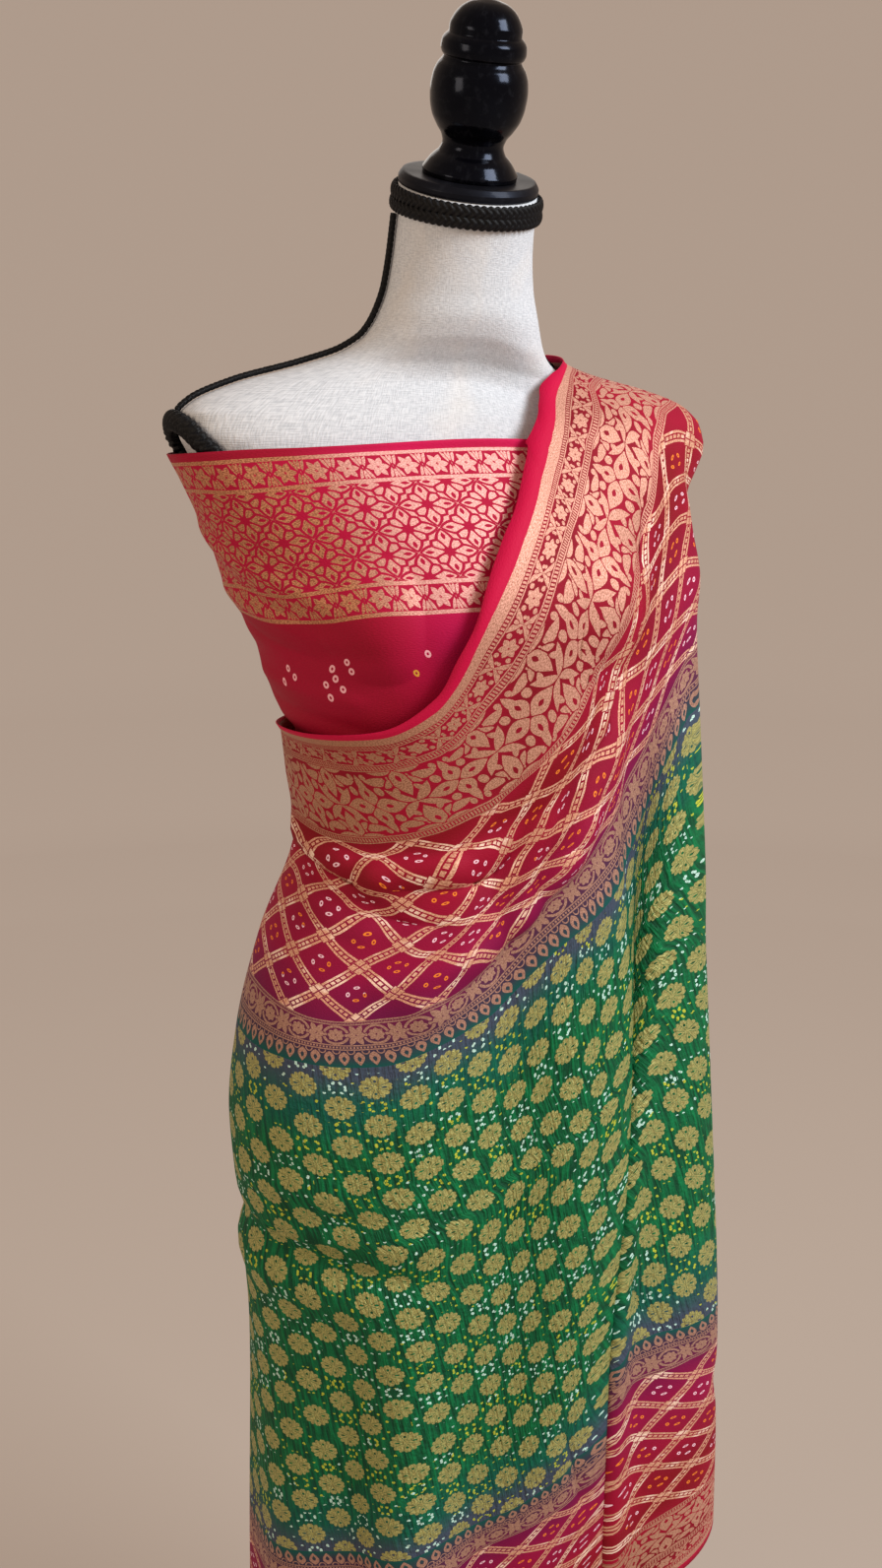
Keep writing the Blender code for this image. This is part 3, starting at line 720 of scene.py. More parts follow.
ARM_ROOM, ARM_ROOM_WIDE, ARM_ROOM_LOW, ARM_ROOM_FULL = 0.0105, 30.0, 1.21, 1.29
WRAP_LEAN = 0.35
WRAP_OUTSIDE = 0.0037
FOLD_RADIUS = 0.15

# Soft creases in the wrap: turn and height at both ends, then width and lift in metres
WRAP_CREASES = (
    (-96, 1.318, -56, 1.272, 0.008, 0.0026),
    (-92, 1.296, -60, 1.252, 0.007, -0.0022),
    (-96, 1.272, -54, 1.244, 0.007, 0.0024),
    (-94, 1.250, -60, 1.226, 0.006, -0.0020),
    (-96, 1.228, -44, 1.232, 0.009, -0.0018),
    (-90, 1.208, -50, 1.196, 0.007, 0.0024),
    (-94, 1.190, -52, 1.176, 0.007, -0.0022),
    (-90, 1.172, -46, 1.158, 0.007, 0.0022),
)


def body_reach(turn, height):
    """The body's own distance from the axis."""
    point = body_point(turn, height + shoulder_drop(turn, height))
    return np.hypot(point[..., 0], point[..., 1])


def wrap_radius(turn, height):
    """The wrap's own section, never inside the body, with room for the braid at the arm."""
    radius = section_reach(turn, height, WRAP)[0]
    room = np.exp(-((turn - ARM_TURN) / ARM_ROOM_WIDE) ** 2)
    room = room * ease((height - ARM_ROOM_LOW) / (ARM_ROOM_FULL - ARM_ROOM_LOW))
    return np.maximum(radius, body_reach(turn, height) + WRAP_CLEAR) + ARM_ROOM * room


def crease_lift(turn, height, creases, radius):
    """Every crease is a bell-shaped ridge or trough beside a straight line on the unrolled cloth."""
    total = np.zeros_like(turn)
    across = np.radians(turn) * radius
    for turn_a, height_a, turn_b, height_b, width, lift in creases:
        start = np.array([np.radians(turn_a) * radius, height_a])
        along = np.array([np.radians(turn_b) * radius, height_b]) - start
        length = np.hypot(*along)
        run = ((across - start[0]) * along[0] + (height - start[1]) * along[1]) / length
        side = ((across - start[0]) * along[1] - (height - start[1]) * along[0]) / length
        past = np.maximum(np.maximum(-run, run - length), 0.0) / (2 * width)
        total += lift * np.exp(-(side / width) ** 2 - past ** 2)
    return total


def outward(points):
    """Unit normals of a grid: the cross product of its two directions."""
    normal = np.cross(np.gradient(points, axis=1), np.gradient(points, axis=0))
    return normal / np.linalg.norm(normal, axis=-1, keepdims=True)


def make_wrap(finish):
    turns = np.linspace(-180, 180, 341)[:, None]
    share = np.linspace(0, 1, 116)[None, :]
    high = WRAP_HIGH + WRAP_RISE * np.maximum(np.cos(np.radians(turns)), 0.0)
    height = high + (WRAP_LOW - high) * share
    turns = turns + 0 * height
    radius = wrap_radius(turns, height) + crease_lift(turns, height, WRAP_CREASES, FOLD_RADIUS)
    sine, cosine = np.sin(np.radians(turns)), np.cos(np.radians(turns))
    points = np.stack([radius * sine, -radius * cosine, height], -1)
    closed = np.concatenate([points[-2:-1], points, points[1:2]])
    points = points + outward(closed)[1:-1] * WRAP_CLEAR
    around = lengths(points)
    down = lengths(points.transpose(1, 0, 2)).transpose()
    around = around - around[len(turns) // 2] - WRAP_LEAN * down
    wrap = surface("chest_wrap_silk", points[:-1], np.stack([around, down], -1), ring=True)
    thicken(wrap, WRAP_SHEET)
    fit(wrap, finish, "wrap_silk", "chest_wrap")


# %% [markdown]
# The end-piece has a wide band between two narrow ones. The wide band is a net of eyed petals and
# ribbons round red stars. Its plane is folded at the stars, like a paper snowflake, so that one
# petal, one kite and one ribbon make the whole net. The narrow bands set six-pointed flowers between
# crossed sprays. Below the gold, a few tied dots are scattered on the plain silk. Towards the form's
# right side the silk and the gold are painted darker, and the gold warmer, and the silk is painted
# darker towards the wrap's lower edge and paler on the raised threads of its weave. These are
# painted shade and painted sheen, and how much of the darkening is the cloth's own colour is a guess.

# %% Chart the wrap's bands
NET_LONG, NET_TALL = 46.0, 36.0
WIDE_BAND, NARROW_BAND, GOLD_LINE = 76.0, 19.0, 3.0
WRAP_SELVEDGE, EDGE_GAP = 7.0, 2.5
WIDE_MIDDLE = WRAP_SELVEDGE + EDGE_GAP + NARROW_BAND + GOLD_LINE + WIDE_BAND / 2
FLOWER_PITCH, FLOWER_RADIUS = 22.5, 7.6
# The tied dots: turn, height, and 0 for white or 1 for yellow
TIED_DOTS = (
    (-71, 1.218, 0), (-67, 1.212, 0), (-72, 1.206, 0), (-48, 1.226, 0), (-53, 1.221, 0), (-46, 1.218, 0),
    (-51, 1.213, 0), (-54, 1.209, 0), (-48, 1.204, 0), (-52, 1.199, 0), (-26, 1.214, 1), (-23, 1.230, 0),
)
DOTS_RADIUS = 142.0


def star_net(along, across):
    """The wide band: the plane folded to the triangle between a star, a node and the ribbon's middle."""
    x, y = abs((along * (2 / NET_LONG)).every(2)), abs((across * (2 / NET_TALL)).every(2))
    past = (x + y).above(1.0)
    x, y = abs(x - past), abs(y - past)
    x, y = larger(x, y), smaller(x, y)
    eyed = petal(x - 0.20, y, 0.77, 0.43)
    kite_x, kite_y = moved(x, y, (0.14, 0.14), 45.0)
    kite = leaf(kite_x, kite_y, 0.50, 0.23)
    ribbon = 0.085 - abs(x + y - 1.0) * 0.7
    eye = leaf(x - 0.50, y, 0.30, 0.14).above(0.0)
    return crowded([eyed, kite, ribbon], 0.02, 0.095) * (1 - eye)


def flower_row(along, across, pitch, radius):
    """A narrow band: a pointed flower at each repeat, and crossed double leaves halfway."""
    x = along.every(pitch)
    wedge_x, wedge_y = folded_round(x, across, 6)
    point = leaf(wedge_x - 0.5, wedge_y, radius, radius * 0.5)
    half = pitch / 2
    aside, up = half - abs(x), abs(across)
    inner = leaf_between(aside, up, (0.2, 0.2), (1.2, 9.2), 2.3, -0.4)
    outer = leaf_between(aside, up, (0.6, 0.2), (4.9, 8.8), 2.6, 0.6)
    seed = disc(x, across, 1.0)
    return crowded([point, inner, outer], 0.4, 0.5) * (1 - seed.above(0.0) * seed.near(0.35, 0.3))


def wrap_finish():
    finish, along, across = cloth_finish("wrap silk")
    from_middle = abs(across - WIDE_MIDDLE)
    wide = star_net(along, across - WIDE_MIDDLE) * from_middle.near(0.0, WIDE_BAND / 2)
    narrow_from = from_middle - (WIDE_BAND / 2 + GOLD_LINE + NARROW_BAND / 2)
    narrow = flower_row(along, narrow_from, FLOWER_PITCH, FLOWER_RADIUS)
    narrow = narrow * abs(narrow_from).near(0.0, NARROW_BAND / 2 - 0.4)
    lines = abs(narrow_from).near(NARROW_BAND / 2 + GOLD_LINE / 2, GOLD_LINE / 2)
    gold = larger(wide, narrow, lines)
    ground = over(clouds(along, across, 120.0, 70.0).ramp(0.35, 0.7), dye(198, 0, 78), dye(176, 0, 60))
    middle_x, middle_y = moved(along, across, (-85.0, 165.0))
    bleed = (1 - distance(middle_x * 0.024, middle_y * 0.02)).ramp(0.0, 0.9)
    ground = over(bleed * 0.65, ground, dye(150, 0, 72))
    # Painted shade: the silk is darker towards the form's right side.
    ground = over((along * -1).ramp(70.0, 150.0) * 0.75, ground, dye(132, 0, 20))
    # Painted shade: the silk is darker towards the wrap's lower edge.
    ground = over(across.ramp(190.0, 250.0) * 0.5, ground, dye(150, 0, 30))
    for turn, height, yellow in TIED_DOTS:
        at = (float(np.radians(turn)) * DOTS_RADIUS,
              (WRAP_HIGH + WRAP_RISE * 0.7 - height) * 1000 + WRAP_SELVEDGE)
        at = (at[0] - WRAP_LEAN * at[1], at[1])
        x, y = moved(along, across, at)
        ring = distance(x, y * 0.8)
        colour = dye(225, 170, 60) if yellow else dye(240, 180, 190)
        ground = over(ring.near(1.7, 0.75), ground, colour)
    ground = over(from_middle.near(0.0, WIDE_BAND / 2 + GOLD_LINE + NARROW_BAND), ground, dye(168, 0, 52))
    weave = clouds(along, across, 2.2, 0.8)
    # Painted sheen: the silk is paler on the raised threads of its weave.
    ground = over(weave.ramp(0.3, 0.75) * 0.15, ground, dye(206, 0, 66))
    # Painted shade: the gold thread is darker and warmer towards the form's right side.
    warm = (along * -1).ramp(95.0, 150.0)
    light = over(warm, dye(238, 178, 170), dye(206, 142, 104))
    dark = over(warm, dye(198, 132, 124), dye(136, 78, 54))
    brocade(finish, along, across, ground, gold, light, dark, weave, 0.0003)
    return finish


make_wrap(wrap_finish())

# %% [markdown]
# ## The drape
#
# The sari's surface is the solid's: a height and a turn for each weft thread, a distance out from
# the body or from the hanging cloth, and the drawn folds. The solid keeps only the broad folds. Here
# the grid is several times finer, so the sharper creases of the photograph are added, each one a line
# with a width and a lift, placed one by one. The pleat down the front is softer here than in the solid,
# which has about twice its lap and rise, because its edge looks soft in the photograph.

# %% Repeat the drape's tables
SARI_WIDTH = 1.16
SARI_LINES = (0.0, 0.115, 0.285, 0.330, 0.830, 0.875, 1.045, SARI_WIDTH)
SARI_SHEET, SARI_CLEAR = 0.0009, 0.0078
REACH_TURNS = (-180, -135, -90, -45, 0, 45, 70, 90, 110, 135, 180)
# height, then the cloth's distance from the axis at each of those turns where it hangs clear
REACH = (
    (0.02, 0.136, 0.156, 0.172, 0.140, 0.122, 0.172, 0.258, 0.264, 0.226, 0.169, 0.136),
    (0.40, 0.136, 0.154, 0.168, 0.140, 0.122, 0.170, 0.252, 0.258, 0.221, 0.166, 0.136),
    (0.62, 0.135, 0.154, 0.164, 0.142, 0.126, 0.170, 0.244, 0.250, 0.215, 0.162, 0.135),
    (0.76, 0.134, 0.154, 0.170, 0.148, 0.132, 0.172, 0.234, 0.240, 0.209, 0.159, 0.134),
    (0.93, 0.119, 0.139, 0.152, 0.132, 0.119, 0.164, 0.222, 0.228, 0.199, 0.144, 0.119),
    (1.08, 0.100, 0.106, 0.110, 0.105, 0.106, 0.151, 0.211, 0.218, 0.190, 0.132, 0.106),
    (1.20, 0.102, 0.108, 0.118, 0.114, 0.118, 0.148, 0.202, 0.210, 0.181, 0.130, 0.108),
    (1.32, 0.094, 0.109, 0.144, 0.104, 0.102, 0.140, 0.192, 0.200, 0.171, 0.119, 0.104),
    (1.38, 0.080, 0.100, 0.150, 0.080, 0.070, 0.118, 0.170, 0.185, 0.157, 0.100, 0.080),
    (1.41, 0.040, 0.040, 0.040, 0.040, 0.040, 0.060, 0.090, 0.114, 0.080, 0.060, 0.040),
    (1.45, 0.030, 0.030, 0.030, 0.030, 0.030, 0.030, 0.030, 0.040, 0.030, 0.030, 0.030),
)
BODY_LIFT, BODY_BLEND = 0.0025, 0.006
# Weft stations: turn at the chest, turn at the hem, stand-off in millimetres, height of each line
STATIONS = (
    (-198, -198, -2, 1.170, 1.090, 0.955, 0.910, 0.440, 0.402, 0.262, 0.160),
    (-178, -178, -2, 1.170, 1.090, 0.955, 0.910, 0.440, 0.402, 0.262, 0.160),
    (-135, -135, 0, 1.161, 1.088, 0.953, 0.908, 0.440, 0.402, 0.262, 0.158),
    (-90, -90, 0, 1.167, 1.087, 0.955, 0.908, 0.444, 0.406, 0.262, 0.158),
    (-60, -60, 0, 1.171, 1.079, 0.946, 0.908, 0.462, 0.424, 0.276, 0.170),
    (-40, -40, 0, 1.177, 1.078, 0.951, 0.910, 0.471, 0.433, 0.288, 0.182),
    (-22, -22, 0, 1.203, 1.086, 0.967, 0.926, 0.486, 0.448, 0.304, 0.198),
    (-5, -8, 0, 1.296, 1.104, 1.002, 0.949, 0.492, 0.462, 0.322, 0.214),
    (12, 6, 0, 1.359, 1.143, 1.030, 0.979, 0.503, 0.477, 0.342, 0.234),
    (26, 16, 0, 1.398, 1.195, 1.062, 1.005, 0.522, 0.490, 0.366, 0.260),
    (38, 26, 0, 1.415, 1.272, 1.096, 1.026, 0.545, 0.505, 0.392, 0.292),
    (52, 36, 0, 1.433, 1.326, 1.137, 1.066, 0.564, 0.524, 0.424, 0.330),
    (64, 44, 0, 1.4410, 1.386, 1.213, 1.168, 0.631, 0.592, 0.437, 0.362),
    (73, 60, 0, 1.4430, 1.400, 1.220, 1.175, 0.630, 0.594, 0.459, 0.390),
    (82, 76, 0, 1.4440, 1.405, 1.226, 1.180, 0.634, 0.596, 0.469, 0.418),
    (90, 90, 0, 1.4445, 1.407, 1.228, 1.182, 0.624, 0.584, 0.462, 0.420),
    (99, 104, 0, 1.4440, 1.402, 1.222, 1.174, 0.604, 0.564, 0.440, 0.396),
    (125, 128, 6, 1.437, 1.328, 1.165, 1.110, 0.572, 0.534, 0.400, 0.336),
    (150, 152, 8, 1.400, 1.215, 1.080, 1.024, 0.534, 0.498, 0.366, 0.276),
    (176, 178, 12, 1.320, 1.124, 1.012, 0.962, 0.500, 0.464, 0.334, 0.242),
    (206, 206, 13, 1.200, 1.088, 0.970, 0.926, 0.480, 0.442, 0.308, 0.212),
)
CHEST, KNEE = 1.20, 0.60
PLEAT_STATION, PLEAT_WIDE, PLEAT_TOP, PLEAT_FULL = 11.5, 0.5, 1.24, 0.98
PLEAT_LAP, PLEAT_RISE = 2.6, 0.0030
HEM_WAVE, HEM_WAVES, HEM_FULL = 0.006, 9, 0.30

# %% [markdown]
# Silk that is held at a shoulder and pulled round a body lies in folds that run from where it is held.
# Each one here is a bell-shaped ridge or trough beside a straight line on the unrolled cloth. A cloth
# simulation would find folds of its own, and these lie where the photograph shows them.

# %% Place the folds and the creases
# The solid's broad folds: turn and height at both ends, then width and lift in metres
FOLDS = (
    (64, 1.270, 22, 1.068, 0.016, 0.0060),
    (22, 1.068, -26, 0.966, 0.014, 0.0070),
    (48, 1.205, 4, 1.046, 0.016, -0.0050),
    (-92, 1.078, -46, 1.052, 0.011, 0.0045),
    (-46, 1.052, -18, 1.056, 0.011, 0.0040),
    (-84, 1.054, -38, 1.022, 0.010, -0.0030),
    (-104, 0.748, -36, 0.730, 0.014, -0.0070),
    (-100, 0.712, -50, 0.700, 0.014, 0.0040),
    (24, 0.900, 20, 0.560, 0.022, 0.0060),
    (-30, 0.640, -34, 0.200, 0.030, 0.0070),
    (72, 0.960, 70, 0.400, 0.024, -0.0030),
    (118, 1.100, 124, 0.300, 0.030, -0.0090),
    (148, 1.000, 152, 0.260, 0.030, 0.0080),
    (-140, 0.800, -144, 0.160, 0.030, 0.0080),
)
# The sharper creases that only show here, in the same columns
CREASES = (
    (-92, 1.062, -55, 1.048, 0.006, -0.0045),
    (-88, 1.074, -60, 1.062, 0.006, 0.0034),
    (-45, 1.059, -16, 1.064, 0.007, 0.0034),
    (-40, 1.046, -6, 1.050, 0.006, -0.0030),
    (-16, 1.062, 19, 1.093, 0.008, 0.0030),
    (-6, 1.050, 24, 1.076, 0.006, -0.0026),
    (-74, 1.030, -50, 1.012, 0.007, 0.0030),
    (-56, 1.020, -22, 1.016, 0.006, -0.0032),
    (28, 1.092, 10, 1.023, 0.008, 0.0045),
    (34, 1.150, 16, 1.050, 0.006, -0.0040),
    (44, 1.250, 30, 1.120, 0.006, 0.0036),
    (52, 1.330, 40, 1.180, 0.006, -0.0036),
    (10, 1.023, -23, 0.952, 0.008, 0.0045),
    (4, 1.000, -18, 0.962, 0.006, -0.0034),
    (-39, 0.971, -12, 0.992, 0.008, 0.0034),
    (48, 0.677, 75, 0.515, 0.008, -0.0034),
    (75, 0.515, 82, 0.418, 0.008, -0.0034),
    (23, 0.567, 29, 0.505, 0.007, -0.0030),
    (-84, 0.796, -54, 0.800, 0.009, 0.0030),
    (-54, 0.772, -25, 0.785, 0.009, -0.0024),
)


def cloth_reach(turn, height):
    """The body with its wrap, or the hanging cloth, whichever is further out, with a soft change."""
    around = (turn + 180) % 360 - 180
    body = body_reach(around, np.maximum(height, HIP))
    wrap = wrap_radius(around, height) + WRAP_OUTSIDE
    covered = ease((WRAP_END - height) / WRAP_FADE) * ease((height - WRAP_LOW) / WRAP_FADE + 1)
    body = body + np.maximum(wrap - body, 0.0) * covered + BODY_LIFT
    body = np.where(height > HIP - 0.005, body, 0.0)
    by_turn = through(height, REACH)
    places = np.column_stack([REACH_TURNS, np.eye(len(REACH_TURNS))])
    hang = (by_turn * through(around, places)).sum(-1)
    return 0.5 * (body + hang + np.sqrt((body - hang) ** 2 + BODY_BLEND ** 2))


def sari_surface(station, across):
    """The cloth's place at a weft station and a distance from its top edge."""
    table = np.asarray(STATIONS, float)
    at = through(station, np.column_stack([np.arange(len(table)), table]))
    chest, knee, lift = at[..., 0], at[..., 1], at[..., 2] / 1000
    places = np.column_stack([SARI_LINES, np.eye(len(SARI_LINES))])
    height = (at[..., 3:] * through(across, places)).sum(-1)
    turn = chest + (knee - chest) * ease((CHEST - height) / (CHEST - KNEE))
    pleat = ease((PLEAT_TOP - height) / (PLEAT_TOP - PLEAT_FULL))
    side = (station - PLEAT_STATION) / PLEAT_WIDE
    swing = np.sqrt(2 * np.e) * side * np.exp(-side ** 2) * pleat
    radius = cloth_reach(turn, height) + lift + PLEAT_RISE * swing
    radius = radius + crease_lift(turn, height, FOLDS + CREASES, FOLD_RADIUS)
    turn = turn - PLEAT_LAP * swing
    low = ease((HIP - height) / (HIP - HEM_FULL))
    radius = radius + HEM_WAVE * low * np.sin(np.radians(turn) * HEM_WAVES)
    sine, cosine = np.sin(np.radians(turn)), np.cos(np.radians(turn))
    return np.stack([radius * sine, -radius * cosine, height], -1)


# %% [markdown]
# The patterns need each point's place on the flat cloth. A woven pattern shows how a cloth really lies:
# its stripes tell where each warp thread runs, and its repeats tell how far the weft has slipped along
# it. The two short tables here hold both. Points on the stripes and on the borders' repeats were picked
# by eye in the photograph, the field's medallions were found in it by a small measuring program, and
# all of them were looked up on this cloth, seen from this camera. What that gave was rounded and
# evened. The stripes bunch up where the cloth is gathered towards the shoulder.

# %% Lay the sari
# The stripes, in millimetres from the top edge on the flat cloth
STRIPES = (0, 10, 50, 79, 115, 200, 285, 330, 830, 875, 1045, 1160)
# station, then how far each stripe lies from the top edge down the draped cloth, the last four unmoved
STRIPE_PLACES = (
    (0.0, 0, 10, 50, 79, 115, 200, 285, 330),
    (3.0, 0, 5, 40, 76, 119, 190, 288, 332),
    (4.4, 0, 5, 40, 75, 113, 190, 292, 333),
    (5.2, 0, 7, 39, 73, 108, 198, 291, 332),
    (6.0, 0, 11, 46, 76, 109, 210, 291, 333),
    (6.7, 0, 22, 58, 83, 111, 230, 297, 337),
    (7.3, 0, 20, 60, 88, 116, 246, 298, 343),
    (7.8, 0, 18, 54, 90, 124, 254, 297, 345),
    (8.4, 0, 17, 47, 88, 136, 252, 290, 342),
    (9.2, 0, 16, 44, 76, 143, 246, 290, 337),
    (10.0, 0, 14, 46, 73, 136, 245, 290, 334),
    (10.8, 0, 12, 46, 73, 128, 232, 288, 333),
    (11.6, 0, 9, 46, 73, 125, 212, 284, 331),
    (13.0, 0, 9, 48, 76, 115, 202, 281, 330),
    (15.0, 0, 10, 50, 79, 115, 200, 285, 330),
    (20.0, 0, 10, 50, 79, 115, 200, 285, 330),
)
ZERO_STATION = 3.0
SLIP_STRIPES = (0, 79, 115, 200, 285, 331, 580, 829, 1045, 1160)
# station, then how far each of those lines has slipped along the cloth, in millimetres
SLIPS = (
    (0.0, 486, 533, 548, 597, 620, 620, 682, 730, 775, 800),
    (3.0, 486, 533, 548, 597, 620, 620, 682, 730, 775, 800),
    (4.2, 471, 518, 538, 584, 606, 616, 680, 728, 775, 800),
    (5.5, 468, 512, 532, 583, 597, 620, 676, 724, 772, 797),
    (7.0, 470, 516, 531, 600, 594, 624, 671, 722, 768, 793),
    (8.3, 472, 519, 538, 606, 596, 634, 664, 720, 766, 791),
    (9.2, 450, 499, 550, 596, 594, 628, 656, 716, 764, 790),
    (10.2, 438, 488, 532, 592, 590, 612, 651, 708, 758, 786),
    (11.2, 434, 486, 520, 580, 592, 612, 668, 730, 776, 801),
    (12.0, 434, 485, 511, 570, 597, 618, 686, 748, 790, 812),
    (13.0, 434, 485, 508, 560, 606, 655, 701, 755, 796, 818),
    (14.5, 434, 485, 508, 560, 606, 660, 702, 756, 796, 818),
    (20.0, 434, 485, 508, 560, 606, 660, 702, 756, 796, 818),
)


def between(stripe, stripes, values):
    """Values given at some stripes, with a straight change from each of them to the next."""
    stripes = np.asarray(stripes, float)
    left = np.clip(np.searchsorted(stripes, stripe, side="right") - 1, 0, len(stripes) - 2)
    share = (stripe - stripes[left]) / (stripes[left + 1] - stripes[left])
    return values[:, left] * (1 - share) + values[:, left + 1] * share


def sari_grid():
    """Stations and stripes, closer together over the front and the upper half, where the creases are."""
    stations = np.concatenate([np.linspace(0, 3, 60)[:-1], np.linspace(3, 13, 200)[:-1],
                               np.linspace(13, 20, 100)])
    steps = (16, 30, 7, 60, 3, 12, 8)
    lines = np.array(SARI_LINES) * 1000
    stripe = [np.linspace(low, high, count + 1)[:-1] for low, high, count in zip(lines, lines[1:], steps)]
    return stations, np.concatenate([*stripe, lines[-1:]]), np.concatenate([[0], np.cumsum(steps)])


def cloth_places(stations, stripe):
    """Where each stripe crosses each weft station on the draped cloth, and its place along the flat cloth.

    The length down a station is scaled between the zone lines of the solid, so a stripe's table place
    gives a point on it. The place along is the length along the cloth at that point, less the slip.
    """
    fine = np.linspace(0, SARI_WIDTH, 581)
    sheet = sari_surface(stations[:, None] + 0 * fine, fine + 0 * stations[:, None])
    down = lengths(sheet.transpose(1, 0, 2)).transpose()
    along = lengths(sheet) * 1000
    along = along - along[np.argmin(np.abs(stations - ZERO_STATION))]
    known = through(stations, STRIPE_PLACES)
    known = np.column_stack([known, np.tile(STRIPES[-4:], (len(stations), 1))])
    place = between(stripe, STRIPES, known) / 1000
    slip = between(stripe, SLIP_STRIPES, through(stations, SLIPS))
    across, flat = np.zeros(place.shape), np.zeros(place.shape)
    for column in range(len(stations)):
        at_lines = np.interp(SARI_LINES, fine, down[column])
        depth = np.interp(place[column], SARI_LINES, at_lines)
        across[column] = np.interp(depth, down[column], fine)
        flat[column] = np.interp(across[column], fine, along[column]) - slip[column]
    return across, flat / 1000


def make_sari(finishes):
    stations, stripe, bounds = sari_grid()
    across, along = cloth_places(stations, stripe)
    points = sari_surface(stations[:, None] + 0 * across, across)
    points = points + outward(points) * SARI_CLEAR
    flat = np.stack([along, stripe / 1000 + 0 * along], -1)
    sari = surface("sari_cloth", points, flat)
    zone = np.zeros((points.shape[0] - 1, points.shape[1] - 1), int)
    for number, (low, high) in enumerate(zip(bounds, bounds[1:])):
        zone[:, low:high] = min(number, 6 - number)
    thicken(sari, SARI_SHEET)
    fit(sari, finishes, "sari_silk", "sari")
    sari.data.polygons.foreach_set("material_index", zone.ravel())


# %% [markdown]
# ## The sari's patterns
#
# From each edge inwards the cloth has a gold border, a lattice with tied dots, and a narrow border,
# and the green field lies between. Both halves mirror each other, so each finish measures from the
# nearest edge. The gold border crowds leaves and eyed petals into a band 70 mm to the repeat. Its
# thread is bright where it comes over the shoulder and painted darker towards the form's right side.
# This darkening is painted shade, and how much of it is the thread's own colour is a guess.

# %% Chart the gold border
BORDER_REPEAT = 70.0
# Each band's middle and half its width, in millimetres from the cloth's edge
SCROLL, VINE, PLAIN_GOLD = (79.25, 28.2), (33.5, 9.2), (13.75, 3.75)
ROPES = ((20.75, 3.25), (46.75, 3.75), (111.5, 3.5))
RUNG_PITCH, SELVEDGE = 2.8, 10.0


def edge_distance(across):
    """Half the cloth's width less the distance from its middle, in millimetres."""
    return SARI_WIDTH * 500 - abs(across - SARI_WIDTH * 500)


def scroll_band(along, from_middle):
    """The wide band in a quarter of its repeat: s runs along it and t out from its middle line."""
    s, t = abs(along.every(BORDER_REPEAT)), abs(from_middle)
    far = BORDER_REPEAT / 2 - s
    along_petal = petal(26.0 - s, t, 24.5, 11.5)
    across_petal = larger(petal(19.0 - t, s, 17.5, 13.6), leaf(t - 8.0, s, 17.5, 6.4))
    drop = petal(t - 6.0, far, 22.0, 14.0)
    scroll = larger(leaf_between(s, t, (34.6, 0.8), (18.3, 12.9), 5.4, 1.4),
                    leaf_between(s, t, (22.5, 9.0), (28.5, 13.6), 3.8, -0.8))
    curl = larger(leaf_between(s, t, (27.0, 21.5), (5.5, 20.5), 6.4, 1.2), disc(s - 6.0, t - 23.8, 2.1))
    leaves = [disc(s - 12.2, t - 12.2, 3.2),
              leaf_between(s, t, (27.2, 23.4), (20.6, 14.6), 5.4, 0.8),
              leaf_between(s, t, (33.0, 27.6), (13.0, 28.6), 5.0)]
    gold = crowded([along_petal, across_petal, drop, scroll, curl, *leaves], 0.5, 1.1)
    eyes = larger(leaf(s - 9.2, t, 6.4, 3.4), leaf(t - 7.6, s, 6.2, 3.6), leaf(t - 17.8, far, 6.2, 4.0))
    return gold * (1 - eyes.above(0.0))


def vine_band(along, from_middle):
    """Six-petalled flowers with four buds round each, and crossed leaves halfway to the next."""
    x, up = along.every(BORDER_REPEAT / 2), abs(from_middle)
    wedge_x, wedge_y = folded_round(x, from_middle, 6)
    flower = leaf(wedge_x - 0.9, wedge_y, 6.6, 4.0)
    buds = disc(abs(x) - 7.6, up - 5.4, 1.5)
    aside = BORDER_REPEAT / 4 - abs(x)
    crossed = leaf_between(aside, up, (0.5, 0.5), (8.4, 8.8), 3.4, 1.4)
    beads = larger(disc(aside, up - 5.6, 1.8), disc(aside - 4.6, up - 1.2, 1.0))
    return crowded([flower, buds, crossed, beads], 0.45, 0.6)


def border_finish():
    finish, along, across = cloth_finish("gold border")
    edge = edge_distance(across)
    scroll = scroll_band(along, edge - SCROLL[0]) * edge.near(*SCROLL)
    vine = vine_band(along, edge - VINE[0]) * edge.near(*VINE)
    ropes = larger(*[ladder(along, edge, middle, half, RUNG_PITCH) for middle, half in ROPES])
    gold = larger(scroll, vine, ropes, edge.near(*PLAIN_GOLD))
    patch = clouds(along, across, 150.0, 60.0)
    ground = over(patch.ramp(0.35, 0.7), dye(158, 0, 42), dye(124, 0, 22))
    ground = over(edge.work("LESS_THAN", edge, SELVEDGE), ground, dye(192, 0, 62))
    weave = clouds(along, across, 2.0, 0.8)
    # Painted shade: the gold thread is darker towards the form's right side.
    painted_shade = (along * -1).ramp(210.0, 390.0)
    light = over(painted_shade, dye(228, 168, 150), dye(192, 140, 112))
    dark = over(painted_shade, dye(172, 118, 98), dye(140, 94, 70))
    brocade(finish, along, across, ground, gold, light, dark, weave, 0.0003)
    return finish


# %% [markdown]
# The lattice is two sets of slanting lines. One number is even on every line of a set, so each line is
# drawn where that number is near even, and the other set's number counts the little squares along it.
# The dots inside are bandhani: before dyeing, pinches of cloth are tied with thread, and each leaves a
# ring of lighter silk. Nobody ties two alike, so they vary in place and colour. The gold lines are
# painted paler in patches: painted glints, where the thread catches the light.

# %% Chart the lattice
LATTICE_LONG, LATTICE_TALL, LATTICE_STEP = 35.0, 21.25, 18.16
LATTICE_START = 115.0
RAIL_OUT, RAIL_HALF = 3.0, 0.85
KNOT_HALF, KNOT_CLEAR = 5.3, 5.9
CELL_DOT, CELL_DOT_RADIUS = 0.23, 1.35


